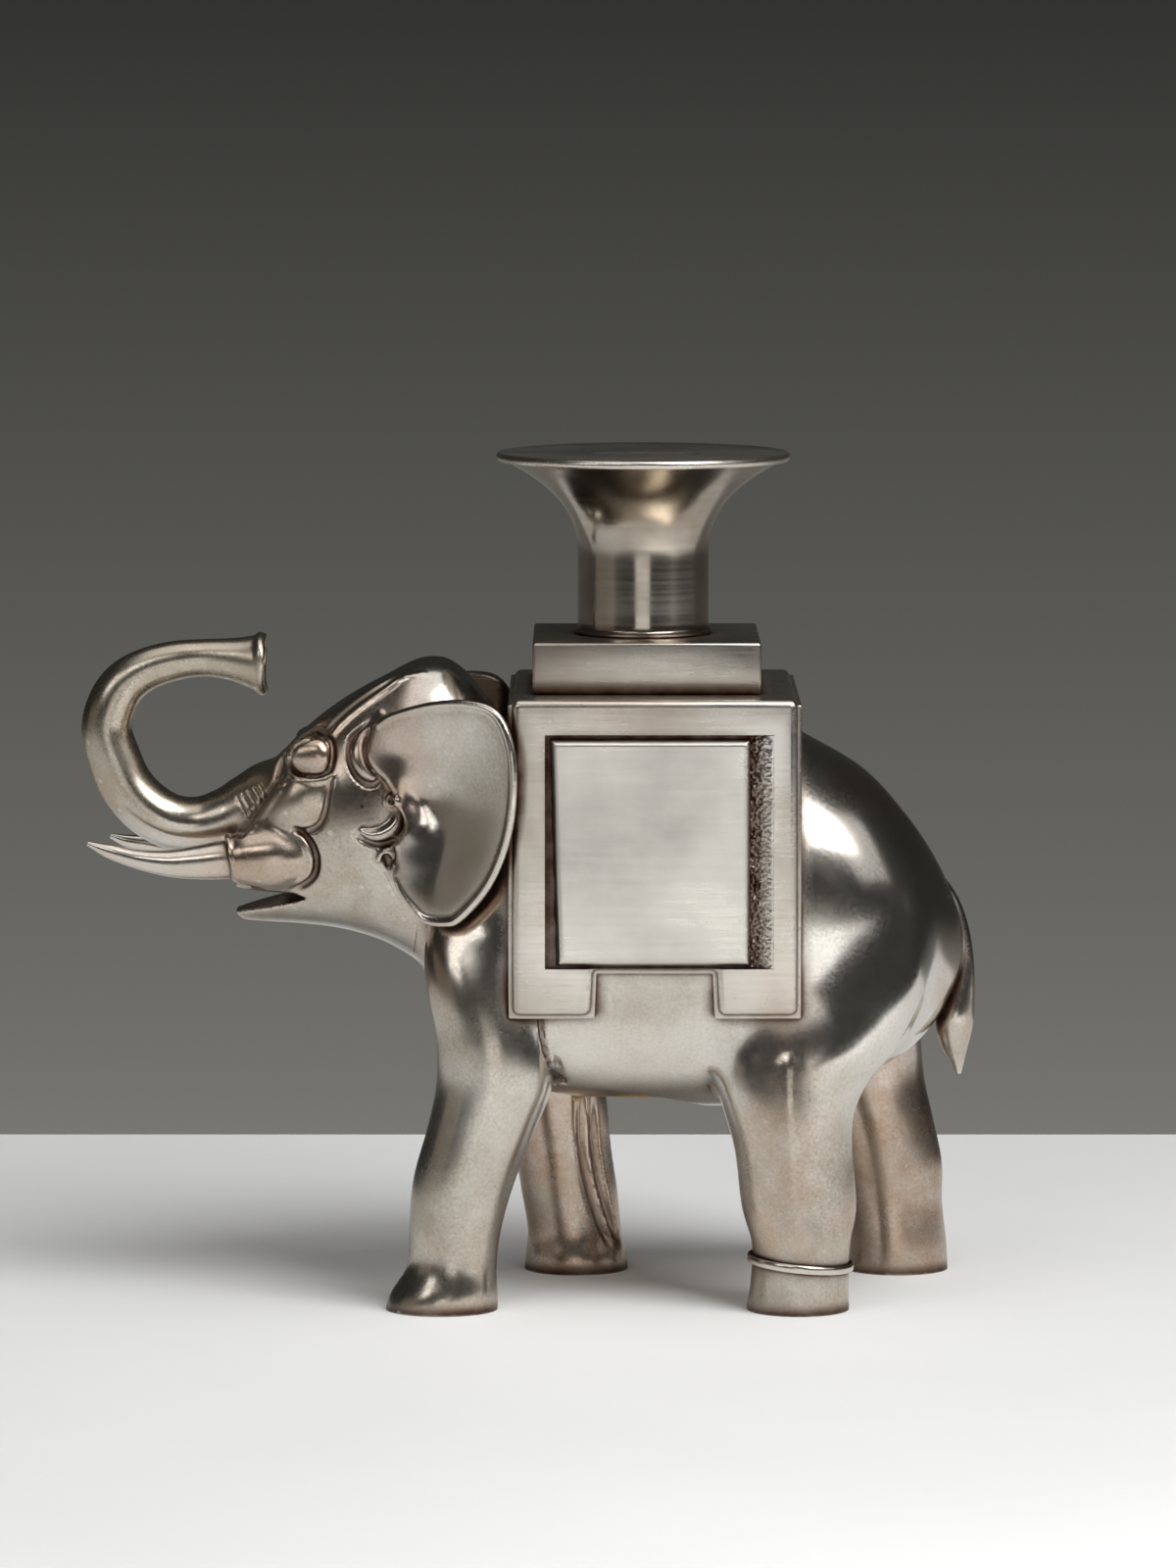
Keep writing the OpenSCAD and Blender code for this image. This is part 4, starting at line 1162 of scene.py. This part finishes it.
def flare(z):
    """Outer radius of the neck at a height above the plinth."""
    return NECK_R + (MOUTH_R - NECK_R) * (np.maximum(z - STRAIGHT, 0) / (NECK_TALL - STRAIGHT)) ** 2.6


up = np.concatenate([np.linspace(2, STRAIGHT, 14), np.linspace(STRAIGHT, NECK_TALL, 36)[1:]])
bead = [(18, -27), (18, 0.05), (19.9, 0.05), (20.05, 0.5), (19.9, 1.0), (19.4, 1.35), (19.1, 1.7)]
outside = [(flare(z), z) for z in up]
inside = [(flare(z) - NECK_WALL, z) for z in up[::-1]]
neck = lathe_object("neck", bead + outside + inside + [(16.5, -27)], (AXIS_X, 0, NECK_Z))
finish_piece(neck, "neck_tube", "neck", "neck")

DISC_Z = 242.6
SLOT_HALF = (16, 2.5)
t = np.radians(np.linspace(-90, 90, 9))
rim = [(41.5 + 1.1 * c, 1.3 + 1.3 * s) for c, s in zip(np.cos(t), np.sin(t))]
under = [(0.4, 0), (33, 0), (33, -1.4), (33.6, -1.4), (33.6, 0)]
top = [(40, 2.3), (38, 2.15), (20, 2.1), (0.4, 2.1)]
disc = solid_object("disc", *skin(turned(under + rim + top, (AXIS_X, 0, DISC_Z))))
cut_away(disc, box_object("tool", (AXIS_X - SLOT_HALF[0], -SLOT_HALF[1], DISC_Z - 5),
                          (AXIS_X + SLOT_HALF[0], SLOT_HALF[1], DISC_Z + 7)))
finish_piece(disc, "slotted_disc", "disc", "slot_disc")


# Anklet

ANKLET_SPOT = (78.4, -35, 13.8)
ANKLET_R = 14.95
ANKLET_TILT = math.radians(5.4)
t = around(16)
profile = np.stack([ANKLET_R + 0.62 * np.cos(t), 1.25 * np.sin(t)], -1)
anklet = lathe_object("anklet", profile, (0, 0, 0), 128)
anklet.data.transform(Matrix.Translation(Vector(ANKLET_SPOT) * MM) @ Matrix.Rotation(ANKLET_TILT, 4, "Y"))
finish_piece(anklet, "anklet_ring", "anklet", "anklet")


# Works of the bank, kept from the frame with eased edges

for name, slot in (("trap_ring", "trap_brass"), ("trap_door", "trap_brass"), ("hinge_pin", "steel"),
                   ("lock_barrel", "lock"), ("lock_cam", "steel"), ("cam_nut", "steel"),
                   ("tie_screws", "steel"), ("plinth_screws", "steel")):
    part = frame["nodes"][name]
    bevel(part, 0.2, 2)
    part.data.materials.clear()
    part.data.materials.append(materials[slot])


# Table, backdrop and light

def table_material():
    s = Shader("table_paper")
    tint = s.mix(s.span(s.noise(6, 4), 0.35, 0.65), (0.91, 0.91, 0.905, 1), (0.94, 0.94, 0.935, 1))
    s.put(s.surface, "Base Color", tint)
    s.put(s.surface, "Roughness", 0.7)
    s.put(s.surface, "Normal", s.bump(s.noise(900, 3), 0.04))
    return s.material


def room():
    """Grey backdrop behind the table that darkens upward, and a dark room in front of it."""
    scene.world = bpy.data.worlds.new("room")
    g = Graph(scene.world, "Generated")
    toward = g.add("ShaderNodeSeparateXYZ", {"Vector": g.place}).outputs
    height = g.math("POWER", g.span(toward["Z"], -0.155, 0.0), 0.65)
    backdrop = g.mix(height, linear(124, 123, 118), linear(45, 45, 43))
    behind = g.span(toward["Y"], -0.3, 0.5)
    g.put(g.tree.nodes["Background"], "Color", g.mix(behind, (0.028, 0.027, 0.025, 1), backdrop))


TABLE_HALF = 1600
TABLE_FRONT = -1150
TABLE_BACK = 295
corners = [(-TABLE_HALF, TABLE_FRONT, 0), (TABLE_HALF, TABLE_FRONT, 0), (TABLE_HALF, TABLE_BACK, 0),
           (-TABLE_HALF, TABLE_BACK, 0)]
table = mesh_object("table", corners, np.array([[0, 1, 2, 3]]))
table.data.materials.append(table_material())
room()


AIM = Vector((0.02, 0, 0.13))


def lamp(name, azimuth, elevation, distance, width, height, level, colour=(1, 1, 1)):
    """Soft rectangular light aimed at the figure; azimuth 0 is the camera's side, level its brightness."""
    data = bpy.data.lights.new(name, "AREA")
    data.shape = "RECTANGLE"
    data.size, data.size_y = width, height
    data.energy = level * math.pi * width * height
    data.color = colour
    obj = bpy.data.objects.new(name, data)
    scene.collection.objects.link(obj)
    a, e = math.radians(azimuth), math.radians(elevation)
    out = Vector((math.sin(a) * math.cos(e), -math.cos(a) * math.cos(e), math.sin(e)))
    obj.location = AIM + distance * out
    obj.rotation_euler = out.to_track_quat("Z", "Y").to_euler()
    obj.visible_camera = False
    return obj


# Name, azimuth, elevation, distance, width, height and level
lamp("strip", -1, 0, 3.2, 1.4, 0.7, 1.1)
lamp("front_high", -22, 36, 3.2, 0.9, 0.75, 2.6)
lamp("key", 42, 50, 2.2, 1.2, 1.7, 6.2)
lamp("right", 66, 30, 2.4, 1.4, 1.4, 0.6)
lamp("left_front", -45, 28, 2.6, 0.8, 0.9, 1.9)
lamp("overhead", 0, 80, 1.8, 1.8, 1.6, 1.1)
lamp("left", -72, 4, 2.2, 1.6, 0.8, 0.17, (1, 0.88, 0.74))
# Light on the table in front of the frame, which the upright faces mirror
table_lamp = lamp("table", 0, 65, 1.6, 0.6, 0.5, 1.2)
table_lamp.location = (0.4, -0.8, 1.5)
table_lamp.rotation_euler = (0, 0, 0)
table_lamp.data.spread = math.radians(40)
